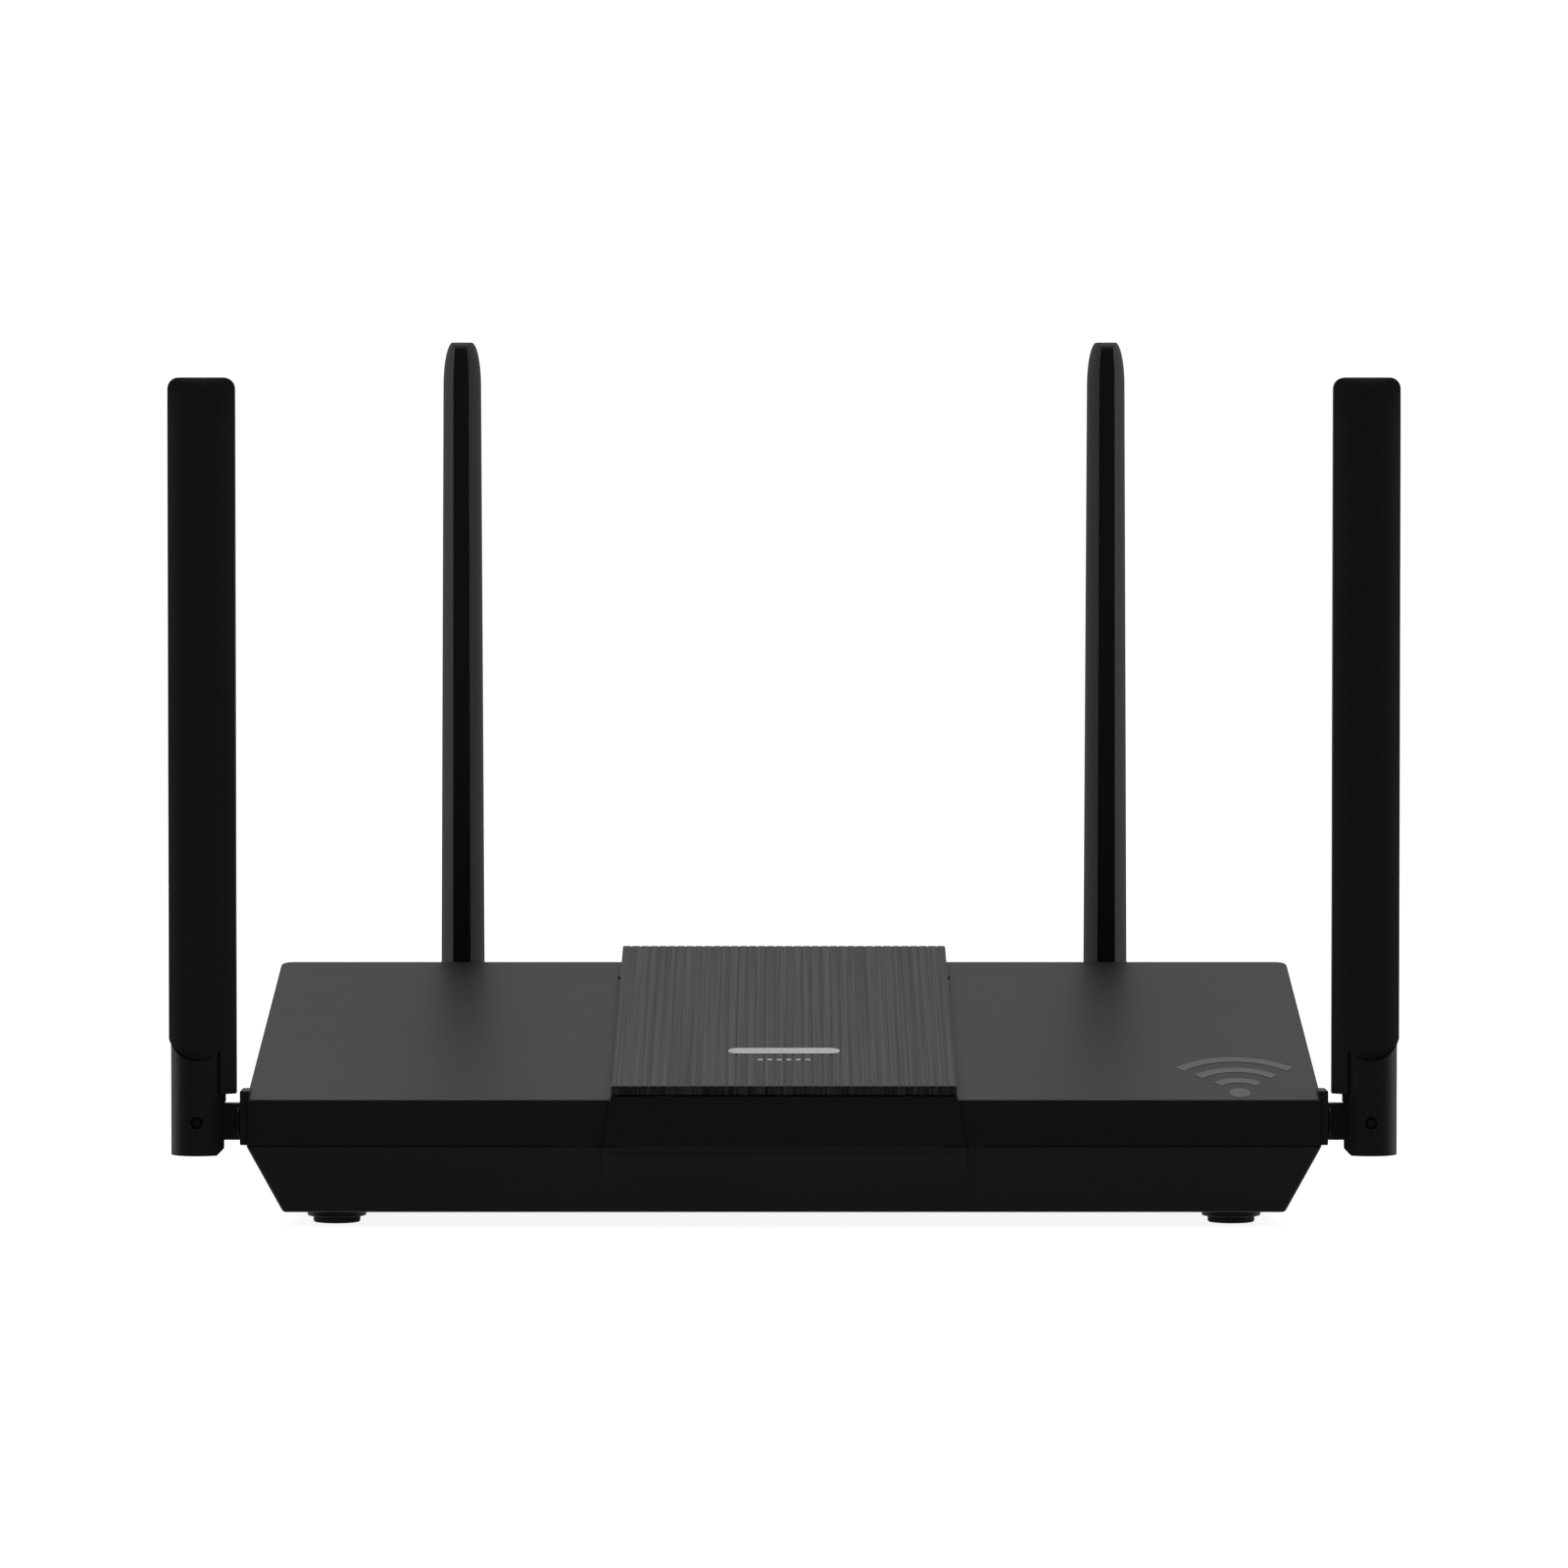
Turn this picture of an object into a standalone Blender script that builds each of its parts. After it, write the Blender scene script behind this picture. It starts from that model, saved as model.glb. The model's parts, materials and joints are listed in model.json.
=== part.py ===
"""Desktop wireless router with four hinged antennas, as an assembly of separate pieces.

Metres, +Z up. The origin is under the middle of the whole object's box, on the table.
X runs along the width, and the front face looks towards -Y.
"""

import math

import bmesh
import bpy
from mathutils import Matrix, Vector

# Body: a wedge that is low at the front and tall at the back
BODY_WIDTH = 0.260
BODY_DEPTH = 0.138
FOOT_HEIGHT = 0.0030
LOWER_HEIGHT = 0.0167
FRONT_BAND = 0.0114
REAR_RISE = 0.0255
LOWER_INSET = 0.0083
WALL = 0.0020
SEAM_GAP = 0.0004
LIP_WIDTH = 0.0012
LIP_HEIGHT = 0.0022
CLEAR = 0.0003
FRONT_CORNER_RADIUS = 0.0010
REAR_CORNER_RADIUS = 0.0030
TOP_EDGE_RADIUS = 0.0006

# Ribbed panel along the middle of the top, and the tab of the lower case in front of it
RIB_COUNT = 36
RIB_PITCH = 0.00232
RIB_GROOVE_WIDTH = 0.00075
RIB_GROOVE_DEPTH = 0.0006
PANEL_RISE = 0.0031
PANEL_OVERHANG = 0.0022
PANEL_SKIN = 0.0015
PANEL_NUB_SIZE = 0.0007
PANEL_NUB_FROM_FRONT = 0.114
TAB_HALF_WIDTH = 0.042
TAB_FLARE = 0.002
TAB_PROUD = 0.0010
TAB_RISE = 0.0009
VENT_HALF_WIDTH = 0.034
VENT_MARGIN = 0.014
VENT_BAR = 0.006
VENT_COUNT = 3
CLIP_LENGTH = 0.012
CLIP_DEPTH = 0.0016

# Feet
FOOT_RADIUS = 0.0057
FOOT_BOSS_RADIUS = 0.00715
FOOT_BOSS_HEIGHT = 0.0014
FOOT_RECESS = 0.0010
FOOT_FROM_SIDE = 0.021
FOOT_FROM_END = 0.017

# Underside air slots
SLOT_COUNT = 9
SLOT_LENGTH = 0.026
SLOT_WIDTH = 0.0018
SLOT_PITCH = 0.0045
SLOT_BANK_X = 0.043

# Screws
SCREW_RADIUS = 0.0013
SCREW_HEAD_RADIUS = 0.0028
SCREW_HEAD_HEIGHT = 0.0018
SCREW_BITE = 0.0070
SCREW_SLOT_LENGTH = 0.0034
SCREW_SLOT_WIDTH = 0.00065
SCREW_SLOT_DEPTH = 0.0009
SCREW_SINK = 0.0020
SCREW_BOSS_WALL = 0.0016
SCREW_FROM_SIDE = 0.018
SCREW_FROM_END = 0.034
CASE_BOSS_HEIGHT = 0.0090

# Circuit board
BOARD_THICKNESS = 0.0016
BOARD_LIFT = 0.0036
BOARD_SIDE_MARGIN = 0.030
BOARD_FRONT_MARGIN = 0.014
BOARD_SCREW_INSET = 0.006
BOARD_POST_WALL = 0.0016

# Sockets and controls on the back
JACK_WIDTH = 0.0160
JACK_HEIGHT = 0.0135
JACK_DEPTH = 0.0213
JACK_GAP = 0.0015
JACK_COUNT = 4
JACK_BORE_WIDTH = 0.0120
JACK_BORE_HEIGHT = 0.0082
JACK_BORE_DEPTH = 0.0150
JACK_LATCH_WIDTH = 0.0062
JACK_LATCH_HEIGHT = 0.0022
JACK_LATCH_DEPTH = 0.0090
JACK_FLOOR = 0.0012
WAN_GAP = 0.0030
DC_WIDTH = 0.0090
DC_HEIGHT = 0.0110
DC_DEPTH = 0.0140
DC_BORE_RADIUS = 0.0032
DC_PIN_RADIUS = 0.0010
DC_PIN_SINK = 0.0010
DC_BORE_DEPTH = 0.0100
CONTROL_GAP = 0.0045
POWER_CAP = 0.0070
WPS_CAP = 0.0048
POWER_TRAVEL = 0.0020
WPS_TRAVEL = 0.0010
RESET_TRAVEL = 0.0004
RESET_PLUNGER = 0.0022
PINHOLE_RADIUS = 0.0008
CAP_PROUD = 0.0020
CAP_DEPTH = 0.0050
STEM_SIZE = 0.0022
STEM_LENGTH = 0.0060
SWITCH_SIZE = 0.0070
SWITCH_DEPTH = 0.0095
IO_MARGIN = 0.0028
IO_FLANGE = 0.0016
IO_FLANGE_DEPTH = 0.0012

# Antennas: U runs outwards from the wall, W along the blade, V across its thickness,
# all from the tilt pin
BLADE_LENGTH = 0.1800
BLADE_INNER = 0.0092
BLADE_OUTER = 0.0070
BLADE_ROOT_THICKNESS = 0.0113
BLADE_TOP_THICKNESS = 0.0098
BLADE_TIP_THICKNESS = 0.0057
BLADE_EDGE_FLAT = 0.0046
BLADE_TIP_TAPER = 0.0110
BLADE_TIP_RADIUS = 0.0027
BLADE_TIP_SWEEP = math.radians(78)
KNUCKLE_RADIUS = 0.00665
KNUCKLE_DROP = 0.0081
KNUCKLE_CHAMFER = 0.0025
SCOOP_RADIUS = 0.0073
SCOOP_BOTTOM = 0.0149
SCOOP_OUTER_SHARE = 0.99
SCOOP_INNER_SHARE = 0.95
BLADE_CORE = 0.0044
WEB_BOTTOM = 0.0068
BLADE_ROOM = 0.0011
EAR_PROUD = 0.0016
EAR_WIDTH = 0.0120
EAR_HEIGHT = 0.0116
LUG_RADIUS = 0.00445
LUG_THICKNESS = 0.0050
SHOULDER = 0.0005
BARREL_RADIUS = 0.0029
RIM_OVERLAP = 0.0005
RIM_LENGTH = 0.0012
BARREL_BORE_RADIUS = 0.0010
BARREL_SLIT = 0.0012
PIN_RADIUS = 0.00115
PIN_RECESS = 0.00035
ELEMENT_WIDTH = 0.0094
ELEMENT_THICKNESS = 0.0012
ELEMENT_LENGTH = 0.138
ELEMENT_START = 0.020
CAVITY_THICKNESS = 0.0050
RIM_ROOM = 0.0005
REAR_HINGE_FROM_SIDE = 0.0465
REAR_HINGE_HEIGHT = 0.0367
COAX_RADIUS = 0.0007
LEAD_FROM_FRONT = 0.0132

# Sides of a round piece, of a small one, of a screw's head and of the knuckle,
# facets across a blade and along its tip, and points between two of a lead's
ROUND = 24
SMALL_ROUND = 12
SCREW_ROUND = 16
KNUCKLE_ROUND = 32
BLADE_STEPS = 6
TIP_STEPS = 4
LEAD_STEPS = 3
# Two points closer than this count as level with each other
LEVEL = 1e-5

# Board parts
CHIP_SIZE = 0.014
CHIP_HEIGHT = 0.0012
HEATSINK_SIZE = 0.030
HEATSINK_BASE = 0.0020
HEATSINK_HEIGHT = 0.0080
FIN_COUNT = 7
FIN_THICKNESS = 0.0012
SHIELD_SIZE = 0.026
SHIELD_HEIGHT = 0.0032
SHIELD_WALL = 0.0004
SHIELD_PLACE_SHARE = 0.6
MEMORY_PLACE_SHARE = 0.3
MEMORY_DEPTH = 0.0084
TRANSFORMER_LENGTH = 0.0256
TRANSFORMER_WIDTH = 0.0096
TRANSFORMER_HEIGHT = 0.0060
CAPACITOR_RADIUS = 0.0040
CAPACITOR_HEIGHT = 0.0115
CAPACITOR_FROM_HINGE = 0.0233
INDUCTOR_SIZE = 0.0070
INDUCTOR_HEIGHT = 0.0045
GUIDE_POSTS = 5
GUIDE_PITCH = 0.0060
GUIDE_POST = 0.0026
GUIDE_POST_DEPTH = 0.0021
GUIDE_BASE_HEIGHT = 0.0040

# Places that follow from those sizes
HALF_WIDTH = BODY_WIDTH / 2
HINGE_REACH = EAR_PROUD + BLADE_ROOM + BLADE_INNER
FRONT = TAB_PROUD - (TAB_PROUD + BODY_DEPTH + HINGE_REACH + BLADE_OUTER) / 2
REAR = FRONT + BODY_DEPTH
SEAM = FOOT_HEIGHT + LOWER_HEIGHT
FLOOR_TOP = FOOT_HEIGHT + WALL
SLOPE = REAR_RISE / BODY_DEPTH
TAB_TOP = SEAM + FRONT_BAND + TAB_RISE
SIDE_HINGE_HEIGHT = SEAM + FRONT_BAND / 2
PANEL_HALF_WIDTH = RIB_COUNT * RIB_PITCH / 2
BARREL_HOLE_RADIUS = BARREL_RADIUS + CLEAR
RIM_RADIUS = BARREL_HOLE_RADIUS + RIM_OVERLAP
SIDE_HINGE_FROM_FRONT = WALL + RIM_RADIUS + RIM_ROOM
REAR_HINGE_X = HALF_WIDTH - REAR_HINGE_FROM_SIDE
BARREL_END = HINGE_REACH + WALL + CLEAR + RIM_LENGTH
BOARD_BOTTOM = FLOOR_TOP + BOARD_LIFT
BOARD_TOP = BOARD_BOTTOM + BOARD_THICKNESS
ON_BOARD = BOARD_TOP + CLEAR
BOARD_HALF_WIDTH = HALF_WIDTH - BOARD_SIDE_MARGIN
BOARD_FRONT = FRONT + BOARD_FRONT_MARGIN
IO_INSIDE = REAR - WALL - CLEAR - IO_FLANGE_DEPTH
BOARD_REAR = IO_INSIDE - CLEAR
IO_FACE = REAR - CLEAR
JACK_PITCH = JACK_WIDTH + JACK_GAP
PORT_ROW = JACK_PITCH * JACK_COUNT + WAN_GAP + JACK_WIDTH
CONTROL_ROW = DC_WIDTH + POWER_CAP + WPS_CAP + 2 * PINHOLE_RADIUS + 4 * CONTROL_GAP
IO_HALF_WIDTH = (PORT_ROW + CONTROL_ROW) / 2 + IO_MARGIN
IO_BOTTOM = BOARD_BOTTOM
IO_TOP = ON_BOARD + JACK_HEIGHT + IO_MARGIN
BLADE_MIDDLE = (BLADE_OUTER - BLADE_INNER) / 2
BLADE_HALF_WIDTH = (BLADE_OUTER + BLADE_INNER) / 2


def top_height(y):
    """Height of the cover's sloping top at this depth."""
    return SEAM + FRONT_BAND + SLOPE * (y - FRONT)


def start_scene():
    for old in list(bpy.data.objects):
        bpy.data.objects.remove(old)
    collections = []
    for name in ("wireless_router", "router_cutters"):
        made = bpy.data.collections.new(name)
        bpy.context.scene.collection.children.link(made)
        collections.append(made)
    collections[1].hide_render = True
    return collections


PARTS, CUTTERS = start_scene()


def material(name, colour, roughness, metallic=0.0):
    made = bpy.data.materials.new(name)
    made.use_nodes = True
    shader = made.node_tree.nodes["Principled BSDF"]
    shader.inputs["Base Color"].default_value = (*colour, 1.0)
    shader.inputs["Roughness"].default_value = roughness
    shader.inputs["Metallic"].default_value = metallic
    return made


CASE_PLASTIC = material("case_plastic", (0.012, 0.012, 0.013), 0.45)
PANEL_PLASTIC = material("panel_plastic", (0.015, 0.015, 0.016), 0.40)
ANTENNA_PLASTIC = material("antenna_plastic", (0.008, 0.008, 0.009), 0.45)
HINGE_PLASTIC = material("hinge_plastic", (0.010, 0.010, 0.011), 0.40)
SOCKET_PLASTIC = material("socket_plastic", (0.020, 0.020, 0.022), 0.50)
BUTTON_PLASTIC = material("button_plastic", (0.030, 0.030, 0.032), 0.45)
RUBBER = material("rubber", (0.016, 0.016, 0.016), 0.85)
BOARD_GREEN = material("board_green", (0.010, 0.080, 0.030), 0.40)
CHIP_BLACK = material("chip_black", (0.020, 0.020, 0.020), 0.60)
STEEL = material("steel", (0.60, 0.60, 0.60), 0.30, 1.0)
ALUMINIUM = material("aluminium", (0.75, 0.75, 0.76), 0.35, 1.0)
BRASS = material("brass", (0.80, 0.60, 0.30), 0.30, 1.0)
CLEAR_PLASTIC = material("clear_plastic", (0.85, 0.87, 0.88), 0.10)


# ---- Modelling helpers


def add_block(bm, corner):
    """A cube whose corners go where corner(side_x, side_y, side_z) says, with sides of -1 or 1."""
    made = bmesh.ops.create_cube(bm, size=2.0)["verts"]
    for vertex in made:
        vertex.co = corner(*(round(value) for value in vertex.co))
    return made


def add_box(bm, low, high):
    def corner(*sides):
        return Vector([b if side > 0 else a for a, b, side in zip(low, high, sides)])

    return add_block(bm, corner)


def add_cylinder(bm, radius, start, end, segments=ROUND):
    start, end = Vector(start), Vector(end)
    along = end - start
    turn = along.to_track_quat("Z", "Y").to_matrix().to_4x4()
    return bmesh.ops.create_cone(
        bm,
        cap_ends=True,
        segments=segments,
        radius1=radius,
        radius2=radius,
        depth=along.length,
        matrix=Matrix.Translation((start + end) / 2) @ turn,
    )["verts"]


def bevel_edges(bm, chosen, width, segments):
    """Rounds the edges for which chosen(start, end) is true."""
    edges = [edge for edge in bm.edges if chosen(*(vertex.co for vertex in edge.verts))]
    bmesh.ops.bevel(
        bm,
        geom=edges,
        offset=width,
        segments=segments,
        profile=0.5,
        affect="EDGES",
        clamp_overlap=True,
    )


def add_object(name, bm, look=None):
    """Closes the bmesh into an object: a part if it has a material, or else a cutter."""
    bmesh.ops.recalc_face_normals(bm, faces=bm.faces)
    mesh = bpy.data.meshes.new(name)
    bm.to_mesh(mesh)
    bm.free()
    made = bpy.data.objects.new(name, mesh)
    if look:
        mesh.materials.append(look)
        mesh.shade_smooth()
        mesh.set_sharp_from_angle(angle=math.radians(30))
        PARTS.objects.link(made)
    else:
        made.hide_render = True
        made.display_type = "WIRE"
        CUTTERS.objects.link(made)
    return made


def boolean(target, tool_mesh, operation, name):
    tool = add_object(name, tool_mesh)
    modifier = target.modifiers.new(name, "BOOLEAN")
    modifier.operation = operation
    modifier.solver = "EXACT"
    modifier.object = tool


def cut(target, tool_mesh, name):
    boolean(target, tool_mesh, "DIFFERENCE", target.name + "_" + name)


def join(target, tool_mesh, name):
    boolean(target, tool_mesh, "UNION", target.name + "_" + name)


def freeze(obj):
    """Turns an object's modifiers into its mesh, so that copies can share it."""
    graph = bpy.context.evaluated_depsgraph_get()
    mesh = bpy.data.meshes.new_from_object(obj.evaluated_get(graph))
    tools = [modifier.object for modifier in obj.modifiers if modifier.type == "BOOLEAN"]
    obj.modifiers.clear()
    obj.data = mesh
    for tool in tools:
        bpy.data.objects.remove(tool)
    mesh.shade_smooth()
    mesh.set_sharp_from_angle(angle=math.radians(30))
    return mesh


def add_tube(name, points, radius, look):
    """A round lead along the points: a curve with filled caps."""
    curve = bpy.data.curves.new(name, "CURVE")
    curve.dimensions = "3D"
    curve.bevel_depth = radius
    curve.bevel_resolution = 2
    curve.use_fill_caps = True
    spline = curve.splines.new("POLY")
    spline.points.add(len(points) - 1)
    for place, point in zip(spline.points, points):
        place.co = (*point, 1.0)
    curve.materials.append(look)
    made = bpy.data.objects.new(name, curve)
    PARTS.objects.link(made)
    return made


def smooth_path(route, steps):
    """Points on a smooth curve through the route's points, with so many steps for each leg."""
    ends = [route[0] * 2 - route[1], *route, route[-1] * 2 - route[-2]]
    points = []
    for before, start, end, after in zip(ends, ends[1:], ends[2:], ends[3:]):
        for step in range(steps):
            t = step / steps
            points.append(
                0.5
                * (
                    2 * start
                    + (end - before) * t
                    + (2 * before - 5 * start + 4 * end - after) * t**2
                    + (3 * start - before - 3 * end + after) * t**3
                )
            )
    return [*points, route[-1]]


# ---- Case


def lower_block(bm, inset, bottom, top):
    """The lower case's tapering tub, drawn in by the inset and cut off at two heights."""

    def corner(side_x, side_y, side_z):
        z = top if side_z > 0 else bottom
        draw = LOWER_INSET * max(0.0, (SEAM - z) / LOWER_HEIGHT)
        y = FRONT + inset + draw if side_y < 0 else REAR - inset
        return Vector((side_x * (HALF_WIDTH - inset - draw), y, z))

    return add_block(bm, corner)


def upper_block(bm, inset, drop, bottom):
    """The cover's wedge, drawn in by the inset with its top lowered by the drop."""

    def corner(side_x, side_y, side_z):
        y = FRONT + inset if side_y < 0 else REAR - inset
        z = top_height(y) - drop if side_z > 0 else bottom
        return Vector((side_x * (HALF_WIDTH - inset), y, z))

    return add_block(bm, corner)


def round_upright_corners(bm):
    for at_front, radius in ((True, FRONT_CORNER_RADIUS), (False, REAR_CORNER_RADIUS)):

        def upright(a, b, at_front=at_front):
            same_side = abs(a.x) > HALF_WIDTH / 2 and a.x * b.x > 0
            return same_side and abs(a.z - b.z) > WALL and (a.y < 0) == (b.y < 0) == at_front

        bevel_edges(bm, upright, radius, 4)


def foot_places():
    x = HALF_WIDTH - FOOT_FROM_SIDE
    for end, y in (("front", FRONT + FOOT_FROM_END), ("rear", REAR - FOOT_FROM_END)):
        yield end + "_left", Vector((-x, y, 0))
        yield end + "_right", Vector((x, y, 0))


def case_screw_places():
    x = HALF_WIDTH - SCREW_FROM_SIDE
    for y in (FRONT + SCREW_FROM_END, REAR - SCREW_FROM_END):
        yield Vector((-x, y, 0))
        yield Vector((x, y, 0))


def board_screw_places():
    x = BOARD_HALF_WIDTH - BOARD_SCREW_INSET
    for y in (BOARD_FRONT + BOARD_SCREW_INSET, BOARD_REAR - BOARD_SCREW_INSET - JACK_DEPTH):
        yield Vector((-x, y, 0))
        yield Vector((x, y, 0))


def side_hinges():
    y = FRONT + SIDE_HINGE_FROM_FRONT
    for side in (-1, 1):
        yield side, Vector((side * HALF_WIDTH, y, SIDE_HINGE_HEIGHT))


def rear_hinges():
    for side in (-1, 1):
        yield side, Vector((side * REAR_HINGE_X, REAR, REAR_HINGE_HEIGHT))


def up(height):
    return Vector((0, 0, height))


def add_prism(bm, outline, low, high):
    """A flat outline in X and Y, raised from one height to another."""
    face = bm.faces.new([bm.verts.new((x, y, low)) for x, y in outline])
    grown = bmesh.ops.extrude_face_region(bm, geom=[face])["geom"]
    far = [item for item in grown if isinstance(item, bmesh.types.BMVert)]
    bmesh.ops.translate(bm, vec=(0, 0, high - low), verts=far)


def add_lip(case):
    """The rim that stands inside the cover along the front and the sides."""
    bm = bmesh.new()
    outer = HALF_WIDTH - WALL - CLEAR
    inner = outer - LIP_WIDTH
    front = FRONT + WALL + CLEAR
    rear = IO_INSIDE - REAR_CORNER_RADIUS
    half = [(outer, front), (outer, rear), (inner, rear), (inner, front + LIP_WIDTH)]
    outline = half + [(-x, y) for x, y in reversed(half)]
    add_prism(bm, outline, SEAM - 2 * WALL, SEAM + LIP_HEIGHT)
    join(case, bm, "lip")


def tab_outline():
    """Side view of the tab's face, as (y, z): upright above the seam, sloping with the case below."""
    foot = FRONT + LOWER_INSET * (SEAM - FLOOR_TOP) / LOWER_HEIGHT
    ledge = SEAM - SEAM_GAP
    return [
        (FRONT - TAB_PROUD, TAB_TOP),
        (FRONT - TAB_PROUD, SEAM - SEAM_GAP),
        (foot + WALL / 4, FLOOR_TOP),
        (foot + WALL, FLOOR_TOP),
        (FRONT + WALL / 2, ledge),
        (FRONT - CLEAR, ledge),
        (FRONT - CLEAR, TAB_TOP),
    ]


def add_tab(case):
    """The tab in the middle of the front, which fills the cover's notch under the panel."""
    bm = bmesh.new()
    low = (-TAB_HALF_WIDTH + CLEAR, FRONT - TAB_PROUD / 2, SEAM - WALL)
    add_box(bm, low, (TAB_HALF_WIDTH - CLEAR, FRONT + WALL - CLEAR, TAB_TOP - CLEAR))
    join(case, bm, "tab")
    bm = bmesh.new()
    half = TAB_HALF_WIDTH + TAB_FLARE
    face = bm.faces.new([bm.verts.new((-half, y, z)) for y, z in tab_outline()])
    grown = bmesh.ops.extrude_face_region(bm, geom=[face])["geom"]
    far = [item for item in grown if isinstance(item, bmesh.types.BMVert)]
    bmesh.ops.translate(bm, vec=(2 * half, 0, 0), verts=far)
    for vertex in bm.verts:
        if vertex.co.z > TAB_TOP - CLEAR:
            vertex.co.x *= TAB_HALF_WIDTH / half
    join(case, bm, "tab_face")


def make_lower_case():
    bm = bmesh.new()
    lower_block(bm, 0.0, FOOT_HEIGHT, SEAM - SEAM_GAP / 2)
    round_upright_corners(bm)
    case = add_object("lower_case", bm, CASE_PLASTIC)

    bm = bmesh.new()
    lower_block(bm, WALL, FLOOR_TOP, SEAM + WALL)
    cut(case, bm, "inside")
    add_lip(case)
    add_tab(case)

    bm = bmesh.new()
    for _, place in foot_places():
        add_cylinder(
            bm,
            FOOT_BOSS_RADIUS,
            place + up(FOOT_HEIGHT - FOOT_BOSS_HEIGHT),
            place + up(FOOT_HEIGHT + WALL / 2),
        )
    join(case, bm, "foot_bosses")
    bm = bmesh.new()
    root = up(FOOT_HEIGHT + WALL / 2)
    radius = SCREW_HEAD_RADIUS + CLEAR + SCREW_BOSS_WALL
    for place in case_screw_places():
        add_cylinder(bm, radius, place + root, place + up(FOOT_HEIGHT + CASE_BOSS_HEIGHT))
    radius = SCREW_RADIUS + CLEAR + BOARD_POST_WALL
    for place in board_screw_places():
        add_cylinder(bm, radius, place + root, place + up(BOARD_BOTTOM - CLEAR))
    join(case, bm, "bosses")

    bm = bmesh.new()
    for _, place in foot_places():
        recess = FOOT_HEIGHT - FOOT_BOSS_HEIGHT + FOOT_RECESS
        add_cylinder(bm, FOOT_RADIUS + CLEAR, place, place + up(recess))
    for place in case_screw_places():
        ledge = FOOT_HEIGHT + SCREW_SINK + SCREW_HEAD_HEIGHT + CLEAR
        add_cylinder(bm, SCREW_HEAD_RADIUS + CLEAR, place, place + up(ledge))
    cut(case, bm, "recesses")
    bm = bmesh.new()
    for place in case_screw_places():
        add_cylinder(bm, SCREW_RADIUS + CLEAR, place, place + up(SEAM), SMALL_ROUND)
    for place in board_screw_places():
        add_cylinder(bm, SCREW_RADIUS + CLEAR, place + root, place + up(SEAM), SMALL_ROUND)
    cut(case, bm, "screw_holes")

    bm = bmesh.new()
    middle = (FRONT + REAR) / 2
    for bank in (-1, 1):
        for count in range(SLOT_COUNT):
            y = middle + (count - (SLOT_COUNT - 1) / 2) * SLOT_PITCH
            x = bank * SLOT_BANK_X
            low = (x - SLOT_LENGTH / 2, y - SLOT_WIDTH / 2, 0)
            add_box(bm, low, (x + SLOT_LENGTH / 2, y + SLOT_WIDTH / 2, FLOOR_TOP + WALL))
    cut(case, bm, "air_slots")
    bm = bmesh.new()
    x = IO_HALF_WIDTH + CLEAR
    add_box(bm, (-x, REAR - 2 * WALL, IO_BOTTOM - CLEAR), (x, REAR + WALL, SEAM + 2 * WALL))
    cut(case, bm, "socket_notch")
    bm = bmesh.new()
    for side, place in side_hinges():
        inside = Vector((side * (HALF_WIDTH - 4 * WALL), place.y, place.z))
        add_cylinder(bm, RIM_RADIUS + CLEAR, inside, place)
    cut(case, bm, "barrel_room")
    return case


def add_ears(cover):
    """The thicker pads of wall that the antennas' swivels bear on."""
    bm = bmesh.new()
    for side, place in side_hinges():

        def corner(side_x, side_y, side_z, side=side, place=place):
            x = HALF_WIDTH + EAR_PROUD if side_x > 0 else HALF_WIDTH - WALL / 2
            y = place.y + side_y * (SIDE_HINGE_FROM_FRONT - FRONT_CORNER_RADIUS)
            z = top_height(y) - TOP_EDGE_RADIUS if side_z > 0 else SEAM + SEAM_GAP
            return Vector((side * x, y, z))

        add_block(bm, corner)
    for _, place in rear_hinges():
        low = (place.x - EAR_WIDTH / 2, REAR - WALL / 2, place.z - EAR_HEIGHT / 2)
        add_box(bm, low, (place.x + EAR_WIDTH / 2, REAR + EAR_PROUD, place.z + EAR_HEIGHT / 2))
    bmesh.ops.bevel(
        bm, geom=bm.edges, offset=TOP_EDGE_RADIUS, segments=2, profile=0.5, affect="EDGES"
    )
    join(cover, bm, "ears")


def vent_windows():
    """(start, end) in Y of each window under the ribbed panel."""
    start, end = FRONT + VENT_MARGIN, REAR - VENT_MARGIN
    length = (end - start - (VENT_COUNT - 1) * VENT_BAR) / VENT_COUNT
    for count in range(VENT_COUNT):
        y = start + count * (length + VENT_BAR)
        yield y, y + length


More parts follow.
